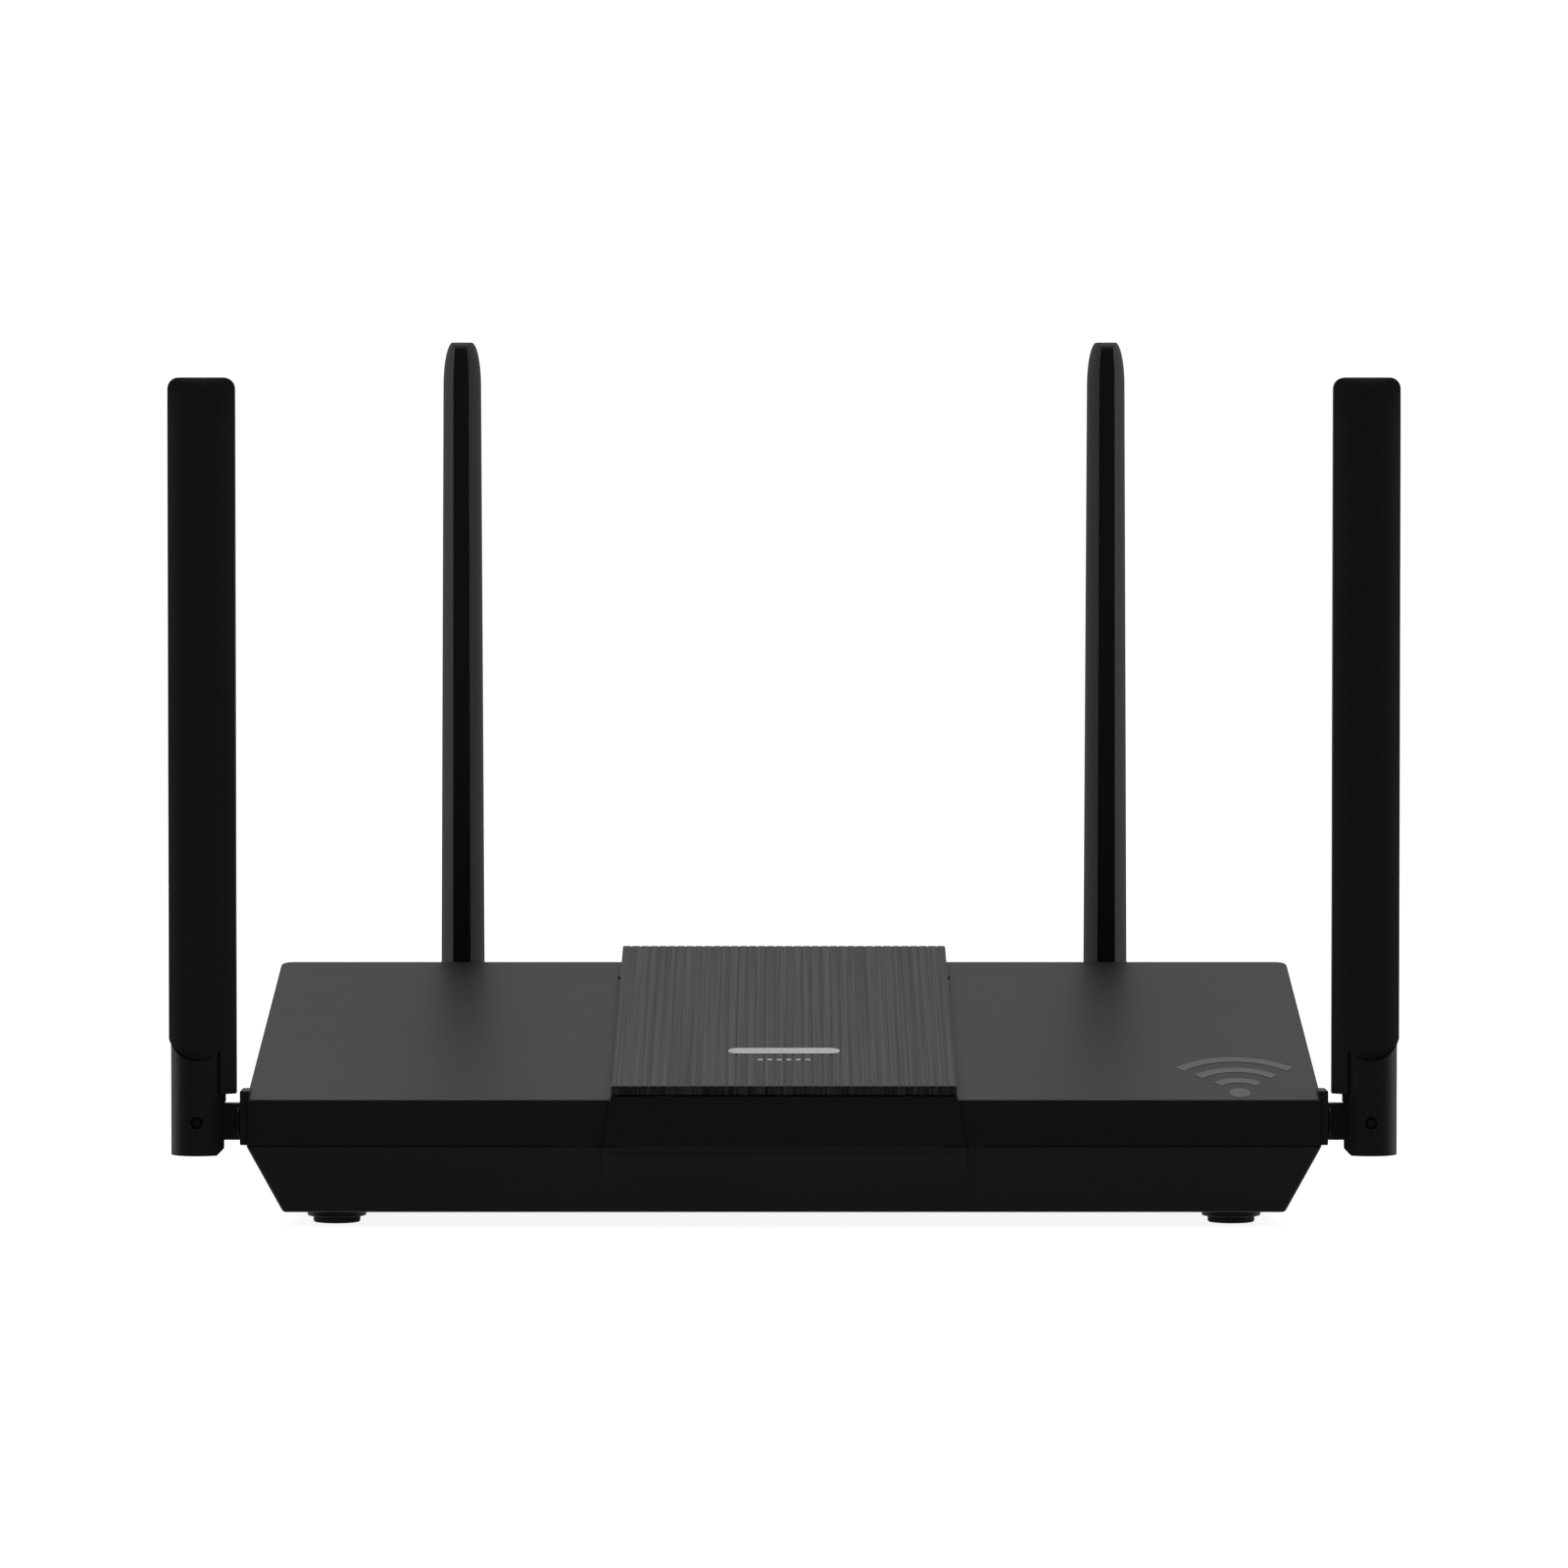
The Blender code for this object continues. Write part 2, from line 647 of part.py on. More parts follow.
def make_upper_cover():
    bm = bmesh.new()
    upper_block(bm, 0.0, 0.0, SEAM + SEAM_GAP / 2)
    round_upright_corners(bm)

    def on_top(*ends):
        return all(end.z > top_height(end.y) - LEVEL for end in ends)

    bevel_edges(bm, on_top, TOP_EDGE_RADIUS, 2)
    cover = add_object("upper_cover", bm, CASE_PLASTIC)
    add_ears(cover)

    bm = bmesh.new()
    upper_block(bm, WALL, WALL, SEAM - WALL)
    cut(cover, bm, "inside")

    bm = bmesh.new()
    for place in case_screw_places():
        radius = SCREW_RADIUS + CLEAR + SCREW_BOSS_WALL
        start = place + up(FOOT_HEIGHT + CASE_BOSS_HEIGHT + CLEAR)
        add_cylinder(bm, radius, start, place + up(top_height(place.y) - WALL / 2 - SLOPE * radius))
    join(cover, bm, "screw_columns")
    bm = bmesh.new()
    for place in case_screw_places():
        start = place + up(FOOT_HEIGHT + CASE_BOSS_HEIGHT - WALL)
        top = FOOT_HEIGHT + CASE_BOSS_HEIGHT + 2 * CLEAR + SCREW_BITE + WALL
        add_cylinder(bm, SCREW_RADIUS + CLEAR, start, place + up(top), SMALL_ROUND)
    cut(cover, bm, "screw_holes")

    bm = bmesh.new()
    low = (-TAB_HALF_WIDTH, FRONT - WALL, SEAM - WALL)
    add_box(bm, low, (TAB_HALF_WIDTH, FRONT + WALL + CLEAR, TAB_TOP + WALL))
    x = IO_HALF_WIDTH + CLEAR
    add_box(bm, (-x, REAR - 2 * WALL, SEAM - WALL), (x, REAR + WALL, IO_TOP + CLEAR))
    for start, end in vent_windows():
        low = (-VENT_HALF_WIDTH, start, top_height(start) - 2 * WALL)
        add_box(bm, low, (VENT_HALF_WIDTH, end, top_height(end) + WALL))
    cut(cover, bm, "windows")

    bm = bmesh.new()
    for side, place in side_hinges():
        reach = Vector((side * 2 * WALL, 0, 0))
        add_cylinder(bm, BARREL_HOLE_RADIUS, place - reach, place + reach)
    for _, place in rear_hinges():
        reach = Vector((0, 2 * WALL, 0))
        add_cylinder(bm, BARREL_HOLE_RADIUS, place - reach, place + reach)
    cut(cover, bm, "barrel_holes")
    return cover


def rib_outline():
    """The panel's section, as (x, height over the cover's top), round the ribs and back."""
    points = [(PANEL_HALF_WIDTH, CLEAR), (PANEL_HALF_WIDTH, PANEL_RISE)]
    for count in range(RIB_COUNT - 1):
        middle = PANEL_HALF_WIDTH - (count + 1) * RIB_PITCH
        groove = RIB_GROOVE_WIDTH / 2
        points.append((middle + groove, PANEL_RISE))
        points.append((middle + groove / 2, PANEL_RISE - RIB_GROOVE_DEPTH))
        points.append((middle - groove / 2, PANEL_RISE - RIB_GROOVE_DEPTH))
        points.append((middle - groove, PANEL_RISE))
    points += [(-PANEL_HALF_WIDTH, PANEL_RISE), (-PANEL_HALF_WIDTH, CLEAR)]
    return points


def make_center_panel():
    bm = bmesh.new()
    start = FRONT - TAB_PROUD
    length = BODY_DEPTH + TAB_PROUD + PANEL_OVERHANG
    outline = [bm.verts.new((x, start, top_height(start) + z)) for x, z in rib_outline()]
    face = bm.faces.new(outline)
    grown = bmesh.ops.extrude_face_region(bm, geom=[face])["geom"]
    far = [item for item in grown if isinstance(item, bmesh.types.BMVert)]
    bmesh.ops.translate(bm, vec=(0, length, SLOPE * length), verts=far)
    panel = add_object("center_panel", bm, PANEL_PLASTIC)

    bm = bmesh.new()

    def pocket(side_x, side_y, side_z):
        y = FRONT + 2 * WALL if side_y < 0 else REAR - WALL
        z = top_height(y) + (PANEL_RISE - PANEL_SKIN if side_z > 0 else -WALL)
        return Vector((side_x * (PANEL_HALF_WIDTH - WALL), y, z))

    add_block(bm, pocket)
    low = (-HALF_WIDTH, FRONT - 2 * WALL, TAB_TOP - 2 * WALL)
    add_box(bm, low, (HALF_WIDTH, FRONT + WALL + CLEAR, TAB_TOP + CLEAR))
    cut(panel, bm, "underside")

    bm = bmesh.new()
    for side in (-1, 1):
        for window_start, window_end in vent_windows():
            middle = (window_start + window_end) / 2
            x = side * (VENT_HALF_WIDTH - CLEAR - WALL / 2)

            def clip(side_x, side_y, side_z, x=x, middle=middle):
                y = middle + side_y * CLIP_LENGTH / 2
                z = top_height(y) + (PANEL_RISE - PANEL_SKIN / 2 if side_z > 0 else -CLIP_DEPTH)
                return Vector((x + side_x * WALL / 2, y, z))

            add_block(bm, clip)
    join(panel, bm, "clips")
    bm = bmesh.new()
    for side in (-1, 1):
        x = side * PANEL_HALF_WIDTH
        y = FRONT + PANEL_NUB_FROM_FRONT
        z = top_height(y) + PANEL_RISE / 2
        size = Vector((PANEL_NUB_SIZE, PANEL_NUB_SIZE * 2, PANEL_NUB_SIZE))
        add_box(bm, Vector((x, y, z)) - size, Vector((x, y, z)) + size)
    join(panel, bm, "nubs")
    return panel


def make_feet():
    for name, place in foot_places():
        bm = bmesh.new()
        top = FOOT_HEIGHT - FOOT_BOSS_HEIGHT + FOOT_RECESS - CLEAR
        add_cylinder(bm, FOOT_RADIUS, (0, 0, 0), (0, 0, top))
        bevel_edges(bm, lambda a, b: a.z == 0 and b.z == 0, TOP_EDGE_RADIUS / 2, 1)
        foot = add_object("foot_" + name, bm, RUBBER)
        foot.location = place


def make_screw(name, place, head_top, length, head_down):
    """A pan-head screw. The head's outer face is at head_top, and the shank runs away from it."""
    bm = bmesh.new()
    add_cylinder(bm, SCREW_HEAD_RADIUS, (0, 0, 0), (0, 0, -SCREW_HEAD_HEIGHT), SCREW_ROUND)
    bevel_edges(bm, lambda a, b: a.z == 0 and b.z == 0, SCREW_HEAD_HEIGHT / 4, 1)
    screw = add_object(name, bm, STEEL)
    bm = bmesh.new()
    add_cylinder(bm, SCREW_RADIUS, (0, 0, -SCREW_HEAD_HEIGHT / 2), (0, 0, -length), SMALL_ROUND)
    join(screw, bm, "shank")
    bm = bmesh.new()
    arm = Vector((SCREW_SLOT_LENGTH / 2, SCREW_SLOT_WIDTH / 2, SCREW_SLOT_DEPTH))
    add_box(bm, -arm, arm)
    cut(screw, bm, "slot")
    bm = bmesh.new()
    arm = Vector((arm.y, arm.x, arm.z))
    add_box(bm, -arm, arm)
    cut(screw, bm, "cross_slot")
    freeze(screw)
    screw.location = place + up(head_top)
    if head_down:
        screw.rotation_euler.x = math.pi


def make_screws():
    ledge = FOOT_HEIGHT + SCREW_SINK
    length = CASE_BOSS_HEIGHT - SCREW_SINK + SCREW_BITE
    for number, place in enumerate(case_screw_places(), 1):
        make_screw(f"case_screw_{number}", place, ledge, length, True)
    top = BOARD_TOP + CLEAR + SCREW_HEAD_HEIGHT
    length = top - FLOOR_TOP - CLEAR
    for number, place in enumerate(board_screw_places(), 1):
        make_screw(f"board_screw_{number}", place, top, length, False)


# ---- Circuit board and what it carries


def make_board():
    bm = bmesh.new()
    low = (-BOARD_HALF_WIDTH, BOARD_FRONT, BOARD_BOTTOM)
    add_box(bm, low, (BOARD_HALF_WIDTH, BOARD_REAR, BOARD_TOP))
    board = add_object("main_board", bm, BOARD_GREEN)
    bm = bmesh.new()
    for place in board_screw_places():
        start = place + up(BOARD_BOTTOM - WALL)
        add_cylinder(bm, SCREW_RADIUS + CLEAR, start, place + up(BOARD_TOP + WALL), SMALL_ROUND)
    cut(board, bm, "screw_holes")


def board_box(name, middle, size, look, round_edges=0.0):
    """A box that stands on the board, with its middle in X and Y and its size."""
    bm = bmesh.new()
    x, y = middle
    low = (x - size[0] / 2, y - size[1] / 2, ON_BOARD)
    add_box(bm, low, (x + size[0] / 2, y + size[1] / 2, ON_BOARD + size[2]))
    if round_edges:
        bevel_edges(bm, lambda a, b: max(a.z, b.z) > ON_BOARD + size[2] / 2, round_edges, 1)
    return add_object(name, bm, look)


def make_heatsink(middle, base):
    """A finned block over the main chip, with its fins along Y."""
    bm = bmesh.new()
    half = HEATSINK_SIZE / 2
    x, y = middle
    add_box(bm, (x - half, y - half, base), (x + half, y + half, base + HEATSINK_HEIGHT))
    sink = add_object("heatsink", bm, ALUMINIUM)
    bm = bmesh.new()
    gap = (HEATSINK_SIZE - FIN_COUNT * FIN_THICKNESS) / (FIN_COUNT - 1)
    for count in range(FIN_COUNT - 1):
        left = x - half + FIN_THICKNESS + count * (gap + FIN_THICKNESS)
        low = (left, y - HEATSINK_SIZE, base + HEATSINK_BASE)
        add_box(bm, low, (left + gap, y + HEATSINK_SIZE, base + 2 * HEATSINK_HEIGHT))
    cut(sink, bm, "fin_gaps")


def make_shield(name, middle):
    can = board_box(name, middle, (SHIELD_SIZE, SHIELD_SIZE, SHIELD_HEIGHT), STEEL, SHIELD_WALL)
    bm = bmesh.new()
    x, y = middle
    half = SHIELD_SIZE / 2 - SHIELD_WALL
    low = (x - half, y - half, ON_BOARD - WALL)
    add_box(bm, low, (x + half, y + half, ON_BOARD + SHIELD_HEIGHT - SHIELD_WALL))
    cut(can, bm, "inside")


def make_light_guide():
    """Five clear posts on one bar, from the board's lamps to the underside of the panel."""
    y = BOARD_FRONT + 2 * GUIDE_POST
    half = (GUIDE_POSTS - 1) / 2 * GUIDE_PITCH + GUIDE_POST
    bm = bmesh.new()
    low = (-half, y - GUIDE_POST / 2, ON_BOARD)
    add_box(bm, low, (half, y + GUIDE_POST / 2, ON_BOARD + GUIDE_BASE_HEIGHT))
    guide = add_object("led_light_guide", bm, CLEAR_PLASTIC)
    bm = bmesh.new()
    top = top_height(y - GUIDE_POST / 2) + PANEL_RISE - PANEL_SKIN - CLEAR
    for count in range(GUIDE_POSTS):
        x = (count - (GUIDE_POSTS - 1) / 2) * GUIDE_PITCH
        low = (x - GUIDE_POST / 2, y - GUIDE_POST_DEPTH / 2, ON_BOARD + GUIDE_BASE_HEIGHT / 2)
        add_box(bm, low, (x + GUIDE_POST / 2, y + GUIDE_POST_DEPTH / 2, top))
    join(guide, bm, "posts")


def make_board_parts():
    middle_y = (BOARD_FRONT + BOARD_REAR - JACK_DEPTH) / 2
    make_light_guide()
    board_box("main_chip", (0, middle_y), (CHIP_SIZE, CHIP_SIZE, CHIP_HEIGHT), CHIP_BLACK)
    make_heatsink((0, middle_y), ON_BOARD + CHIP_HEIGHT + CLEAR)
    shield_x = BOARD_HALF_WIDTH * SHIELD_PLACE_SHARE
    make_shield("radio_shield_left", (-shield_x, middle_y))
    make_shield("radio_shield_right", (shield_x, middle_y))
    chip = (CHIP_SIZE, MEMORY_DEPTH, CHIP_HEIGHT)
    memory_x = BOARD_HALF_WIDTH * MEMORY_PLACE_SHARE
    board_box("memory_chip", (-memory_x, middle_y), chip, CHIP_BLACK)
    size = (TRANSFORMER_LENGTH, TRANSFORMER_WIDTH, TRANSFORMER_HEIGHT)
    back = BOARD_REAR - JACK_DEPTH - size[1]
    jacks = list(jack_places())
    for number, x in enumerate(((jacks[0] + jacks[1]) / 2, (jacks[2] + jacks[3]) / 2), 1):
        board_box(f"lan_transformer_{number}", (x, back), size, CHIP_BLACK, CLEAR)
    capacitor_x = REAR_HINGE_X - CAPACITOR_FROM_HINGE
    size = (INDUCTOR_SIZE, INDUCTOR_SIZE, INDUCTOR_HEIGHT)
    place = (capacitor_x - 2 * INDUCTOR_SIZE, back)
    board_box("power_inductor", place, size, CHIP_BLACK, 2 * CLEAR)
    bm = bmesh.new()
    start = Vector((capacitor_x, back, ON_BOARD))
    add_cylinder(bm, CAPACITOR_RADIUS, start, start + up(CAPACITOR_HEIGHT))
    top = ON_BOARD + CAPACITOR_HEIGHT - LEVEL
    bevel_edges(bm, lambda a, b: min(a.z, b.z) > top, 2 * CLEAR, 1)
    add_object("capacitor", bm, ALUMINIUM)


# ---- Sockets and controls, in one row along the back. Seen from behind, power is on the left.


def jack_places():
    """X of the LAN sockets, then of the WAN socket."""
    x = -(PORT_ROW + CONTROL_ROW) / 2 + JACK_WIDTH / 2
    for _ in range(JACK_COUNT):
        yield x
        x += JACK_PITCH
    yield x + WAN_GAP


def control_places():
    """X of the reset pinhole, the pairing button, the power button and the power socket."""
    x = -(PORT_ROW + CONTROL_ROW) / 2 + PORT_ROW
    places = {}
    for name, width in (
        ("reset", 2 * PINHOLE_RADIUS),
        ("wps", WPS_CAP),
        ("power", POWER_CAP),
        ("dc", DC_WIDTH),
    ):
        places[name] = x + CONTROL_GAP + width / 2
        x += CONTROL_GAP + width
    return places


def control_height():
    return ON_BOARD + SWITCH_SIZE / 2


def make_jack(name, x):
    """A modular socket with its latch channel below the plug's space."""
    bm = bmesh.new()
    low = (x - JACK_WIDTH / 2, IO_FACE - JACK_DEPTH, ON_BOARD)
    add_box(bm, low, (x + JACK_WIDTH / 2, IO_FACE, ON_BOARD + JACK_HEIGHT))
    jack = add_object(name, bm, SOCKET_PLASTIC)
    bore_low = ON_BOARD + JACK_FLOOR + JACK_LATCH_HEIGHT
    bm = bmesh.new()
    low = (x - JACK_BORE_WIDTH / 2, IO_FACE - JACK_BORE_DEPTH, bore_low)
    add_box(bm, low, (x + JACK_BORE_WIDTH / 2, IO_FACE + WALL, bore_low + JACK_BORE_HEIGHT))
    cut(jack, bm, "bore")
    bm = bmesh.new()
    low = (x - JACK_LATCH_WIDTH / 2, IO_FACE - JACK_LATCH_DEPTH, ON_BOARD + JACK_FLOOR)
    add_box(bm, low, (x + JACK_LATCH_WIDTH / 2, IO_FACE + WALL, bore_low + WALL))
    cut(jack, bm, "latch")


def make_dc_jack(x):
    bm = bmesh.new()
    low = (x - DC_WIDTH / 2, IO_FACE - DC_DEPTH, ON_BOARD)
    add_box(bm, low, (x + DC_WIDTH / 2, IO_FACE, ON_BOARD + DC_HEIGHT))
    jack = add_object("dc_jack", bm, SOCKET_PLASTIC)
    middle = Vector((x, IO_FACE, ON_BOARD + DC_HEIGHT / 2))
    depth = Vector((0, DC_BORE_DEPTH, 0))
    bm = bmesh.new()
    add_cylinder(bm, DC_BORE_RADIUS, middle - depth, middle + depth)
    cut(jack, bm, "bore")
    bm = bmesh.new()
    sink = Vector((0, DC_PIN_SINK, 0))
    add_cylinder(bm, DC_PIN_RADIUS, middle - depth - sink, middle - sink, SMALL_ROUND)
    join(jack, bm, "pin")


def make_control(name, x, cap, travel, proud):
    """A push button on its stem, and the switch whose bore the stem slides in."""
    z = control_height()
    bm = bmesh.new()
    rear_face = REAR + proud
    add_cylinder(bm, cap / 2, (x, rear_face - CAP_DEPTH, z), (x, rear_face, z))
    bevel_edges(bm, lambda a, b: min(a.y, b.y) > rear_face - LEVEL, TOP_EDGE_RADIUS / 2, 1)
    button = add_object(name + "_button", bm, BUTTON_PLASTIC)
    stem_end = rear_face - CAP_DEPTH - STEM_LENGTH
    half = STEM_SIZE / 2
    bm = bmesh.new()
    add_box(bm, (x - half, stem_end, z - half), (x + half, rear_face - CAP_DEPTH / 2, z + half))
    join(button, bm, "stem")

    switch_face = rear_face - CAP_DEPTH - travel - CLEAR
    bm = bmesh.new()
    half = SWITCH_SIZE / 2
    low = (x - min(half, cap / 2 + WALL), switch_face - SWITCH_DEPTH, ON_BOARD)
    add_box(bm, low, (x + min(half, cap / 2 + WALL), switch_face, ON_BOARD + SWITCH_SIZE))
    switch = add_object(name + "_switch", bm, CHIP_BLACK)
    bm = bmesh.new()
    half = STEM_SIZE / 2 + CLEAR
    low = (x - half, stem_end - travel - CLEAR, z - half)
    add_box(bm, low, (x + half, switch_face + WALL, z + half))
    cut(switch, bm, "bore")


def make_rear_panel():
    """The plate round the sockets, held by a flange behind the wall."""
    bm = bmesh.new()
    x = IO_HALF_WIDTH
    add_box(bm, (-x, IO_INSIDE + IO_FLANGE_DEPTH / 2, IO_BOTTOM), (x, IO_FACE, IO_TOP))
    panel = add_object("rear_panel", bm, CASE_PLASTIC)
    bm = bmesh.new()
    low = (-x - IO_FLANGE, IO_INSIDE, IO_BOTTOM - IO_FLANGE)
    add_box(bm, low, (x + IO_FLANGE, IO_INSIDE + IO_FLANGE_DEPTH, IO_TOP + IO_FLANGE))
    join(panel, bm, "flange")
    bm = bmesh.new()
    for jack_x in jack_places():
        half = JACK_WIDTH / 2 + CLEAR
        low = (jack_x - half, IO_INSIDE - WALL, ON_BOARD - CLEAR)
        add_box(bm, low, (jack_x + half, REAR + WALL, ON_BOARD + JACK_HEIGHT + CLEAR))
    places = control_places()
    half = DC_WIDTH / 2 + CLEAR
    low = (places["dc"] - half, IO_INSIDE - WALL, ON_BOARD - CLEAR)
    add_box(bm, low, (places["dc"] + half, REAR + WALL, ON_BOARD + DC_HEIGHT + CLEAR))
    z = control_height()
    for name, radius in (
        ("power", POWER_CAP / 2 + CLEAR),
        ("wps", WPS_CAP / 2 + CLEAR),
        ("reset", PINHOLE_RADIUS),
    ):
        x = places[name]
        add_cylinder(bm, radius, (x, IO_INSIDE - WALL, z), (x, REAR + WALL, z))
    cut(panel, bm, "windows")


def make_back_row():
    for number, x in enumerate(jack_places(), 1):
        make_jack(f"lan_jack_{number}" if number <= JACK_COUNT else "wan_jack", x)
    places = control_places()
    make_dc_jack(places["dc"])
    make_control("power", places["power"], POWER_CAP, POWER_TRAVEL, CAP_PROUD)
    make_control("wps", places["wps"], WPS_CAP, WPS_TRAVEL, CAP_PROUD / 2)
    behind_panel = IO_INSIDE - CLEAR - REAR
    make_control("reset", places["reset"], RESET_PLUNGER, RESET_TRAVEL, behind_panel)
    make_rear_panel()


# ---- Antennas, modelled once round their tilt pin and then placed at each hinge


def blade_section(thickness, w):
    """One ring of the blade: flat edges, and wide faces that bulge as arcs."""
    flat = BLADE_EDGE_FLAT * thickness / BLADE_ROOT_THICKNESS
    bulge = (thickness - flat) / 2
    ring = []
    steps = BLADE_STEPS
    for side in (1, -1):
        for step in range(steps + 1):
            across = 1 - 2 * step / steps
            v = flat / 2 + bulge * (1 - across**2)
            ring.append(Vector((BLADE_MIDDLE + side * across * BLADE_HALF_WIDTH, side * v, w)))
    return ring


def blade_rings():
    """(thickness, height along the blade), from inside the knuckle to the rounded tip."""
    start = SCOOP_BOTTOM - 2 * WALL
    taper = BLADE_LENGTH - BLADE_TIP_TAPER
    yield BLADE_ROOT_THICKNESS, start
    yield BLADE_ROOT_THICKNESS, SCOOP_BOTTOM + WALL
    yield BLADE_TOP_THICKNESS, taper
    for step in range(1, TIP_STEPS + 1):
        angle = BLADE_TIP_SWEEP * step / TIP_STEPS
        along = math.sin(angle) / math.sin(BLADE_TIP_SWEEP)
        inwards = (1 - math.cos(angle)) / (1 - math.cos(BLADE_TIP_SWEEP))
        thickness = BLADE_TOP_THICKNESS - (BLADE_TOP_THICKNESS - BLADE_TIP_THICKNESS) * inwards
        yield thickness, taper + along * BLADE_TIP_TAPER


def add_loft(bm, rings):
    rows = [[bm.verts.new(point) for point in ring] for ring in rings]
    for lower, upper in zip(rows, rows[1:]):
        for count in range(len(lower)):
            after = (count + 1) % len(lower)
            bm.faces.new((lower[count], lower[after], upper[after], upper[count]))
    bm.faces.new(rows[0])
    bm.faces.new(rows[-1])


def scoop_height(u):
    """Height of the U-shaped line where the blade ends and the knuckle begins."""
    return SCOOP_BOTTOM + SCOOP_RADIUS - math.sqrt(max(0.0, SCOOP_RADIUS**2 - u**2))


def add_plate(bm, outline, half_depth):
    """A flat outline in U and W, thickened both ways in V."""
    face = bm.faces.new([bm.verts.new((u, -half_depth, w)) for u, w in outline])
    grown = bmesh.ops.extrude_face_region(bm, geom=[face])["geom"]
    far = [item for item in grown if isinstance(item, bmesh.types.BMVert)]
    bmesh.ops.translate(bm, vec=(0, 2 * half_depth, 0), verts=far)


def scoop_points(start, end, steps=6):
    for step in range(steps + 1):
        u = start + (end - start) * step / steps
        yield u, scoop_height(u)


def trim_blade(blade):
    """Rounds the tip's corners and gives the lower end its U shape."""
    bm = bmesh.new()
    beyond = BLADE_LENGTH + WALL
    outline = [(BLADE_CORE, 0.0), *scoop_points(BLADE_CORE, SCOOP_RADIUS * SCOOP_OUTER_SHARE)]
    outline.append((BLADE_OUTER + WALL, outline[-1][1]))
    outline.append((BLADE_OUTER + WALL, beyond))
    outline.append((-BLADE_INNER - WALL, beyond))
    last = SCOOP_RADIUS * SCOOP_INNER_SHARE
    outline.append((-BLADE_INNER - WALL, scoop_height(last)))
    outline += [*scoop_points(-last, -BLADE_CORE), (-BLADE_CORE, 0.0)]
    add_plate(bm, outline, BLADE_ROOT_THICKNESS)
    boolean(blade, bm, "INTERSECT", "blade_outline")

    bm = bmesh.new()
    low = (-BLADE_INNER, -BLADE_ROOT_THICKNESS, -BLADE_LENGTH)
    add_box(bm, low, (BLADE_OUTER, BLADE_ROOT_THICKNESS, BLADE_LENGTH))
    bevel_edges(
        bm,
        lambda a, b: min(a.z, b.z) > 0 and abs(a.x - b.x) < LEVEL,
        BLADE_TIP_RADIUS,
        5,
    )
    boolean(blade, bm, "INTERSECT", "blade_tip")


def knuckle_mesh():
    bm = bmesh.new()
    end = (0, 0, SCOOP_BOTTOM + SCOOP_RADIUS)
    add_cylinder(bm, KNUCKLE_RADIUS, (0, 0, -KNUCKLE_DROP), end, KNUCKLE_ROUND)
    bevel_edges(bm, lambda a, b: max(a.z, b.z) < -KNUCKLE_DROP + LEVEL, CLEAR, 1)
    knuckle = add_object("knuckle", bm)
    bm = bmesh.new()
    top = SCOOP_BOTTOM + 2 * SCOOP_RADIUS
    edge = SCOOP_RADIUS * SCOOP_OUTER_SHARE
    side = [(-KNUCKLE_RADIUS - WALL, scoop_height(edge))]
    outline = [*side, *scoop_points(-edge, edge, 16), (KNUCKLE_RADIUS + WALL, scoop_height(edge))]
    outline += [(KNUCKLE_RADIUS + WALL, top), (-KNUCKLE_RADIUS - WALL, top)]
    add_plate(bm, outline, 2 * KNUCKLE_RADIUS)
    cut(knuckle, bm, "scoop")
    bm = bmesh.new()
    corner = KNUCKLE_CHAMFER * 1.1
    low_left = (-KNUCKLE_RADIUS - WALL, -KNUCKLE_DROP - WALL)
    outline = [
        low_left,
        (-KNUCKLE_RADIUS + KNUCKLE_CHAMFER, -KNUCKLE_DROP - WALL),
        (-KNUCKLE_RADIUS + KNUCKLE_CHAMFER, -KNUCKLE_DROP),
        (-KNUCKLE_RADIUS, -KNUCKLE_DROP + corner),
        (-KNUCKLE_RADIUS - WALL, -KNUCKLE_DROP + corner),
    ]
    add_plate(bm, outline, 2 * KNUCKLE_RADIUS)
    cut(knuckle, bm, "chamfer")
    mesh = freeze(knuckle)
    bm = bmesh.new()
    bm.from_mesh(mesh)
    bpy.data.objects.remove(knuckle)
    return bm


def make_blade():
    """The antenna's hollow shell with its knuckle, slotted for the swivel's lug."""
    bm = bmesh.new()
    add_loft(bm, [blade_section(thickness, w) for thickness, w in blade_rings()])
    blade = add_object("antenna_blade", bm, ANTENNA_PLASTIC)
    trim_blade(blade)
    join(blade, knuckle_mesh(), "knuckle")
    bm = bmesh.new()
    half = BLADE_EDGE_FLAT / 2
    high = (-KNUCKLE_RADIUS / 2, half, SCOOP_BOTTOM + 2 * WALL)
    add_box(bm, (-BLADE_INNER, -half, WEB_BOTTOM), high)
    join(blade, bm, "web")

    bm = bmesh.new()
    slot = LUG_THICKNESS / 2 + CLEAR
    room = LUG_RADIUS + CLEAR
    low = (-2 * KNUCKLE_RADIUS, -slot, -2 * KNUCKLE_DROP)
    add_box(bm, low, (room, slot, room))
    cut(blade, bm, "lug_slot")
    bm = bmesh.new()
    half = ELEMENT_WIDTH / 2 + CLEAR
    low = (BLADE_MIDDLE - half, -CAVITY_THICKNESS / 2, ELEMENT_START - CLEAR)
    top = ELEMENT_START + ELEMENT_LENGTH + CLEAR
    add_box(bm, low, (BLADE_MIDDLE + half, CAVITY_THICKNESS / 2, top))
    cut(blade, bm, "cavity")
    bm = bmesh.new()
    end = (0, 0, ELEMENT_START + WALL)
    add_cylinder(bm, 2 * COAX_RADIUS, (0, 0, room - WALL), end, SMALL_ROUND)
    cut(blade, bm, "lead_hole")
    bm = bmesh.new()
    reach = 2 * KNUCKLE_RADIUS
    add_cylinder(bm, PIN_RADIUS + CLEAR, (0, -reach, 0), (0, reach, 0))
    cut(blade, bm, "pin_hole")
    freeze(blade)
    return blade


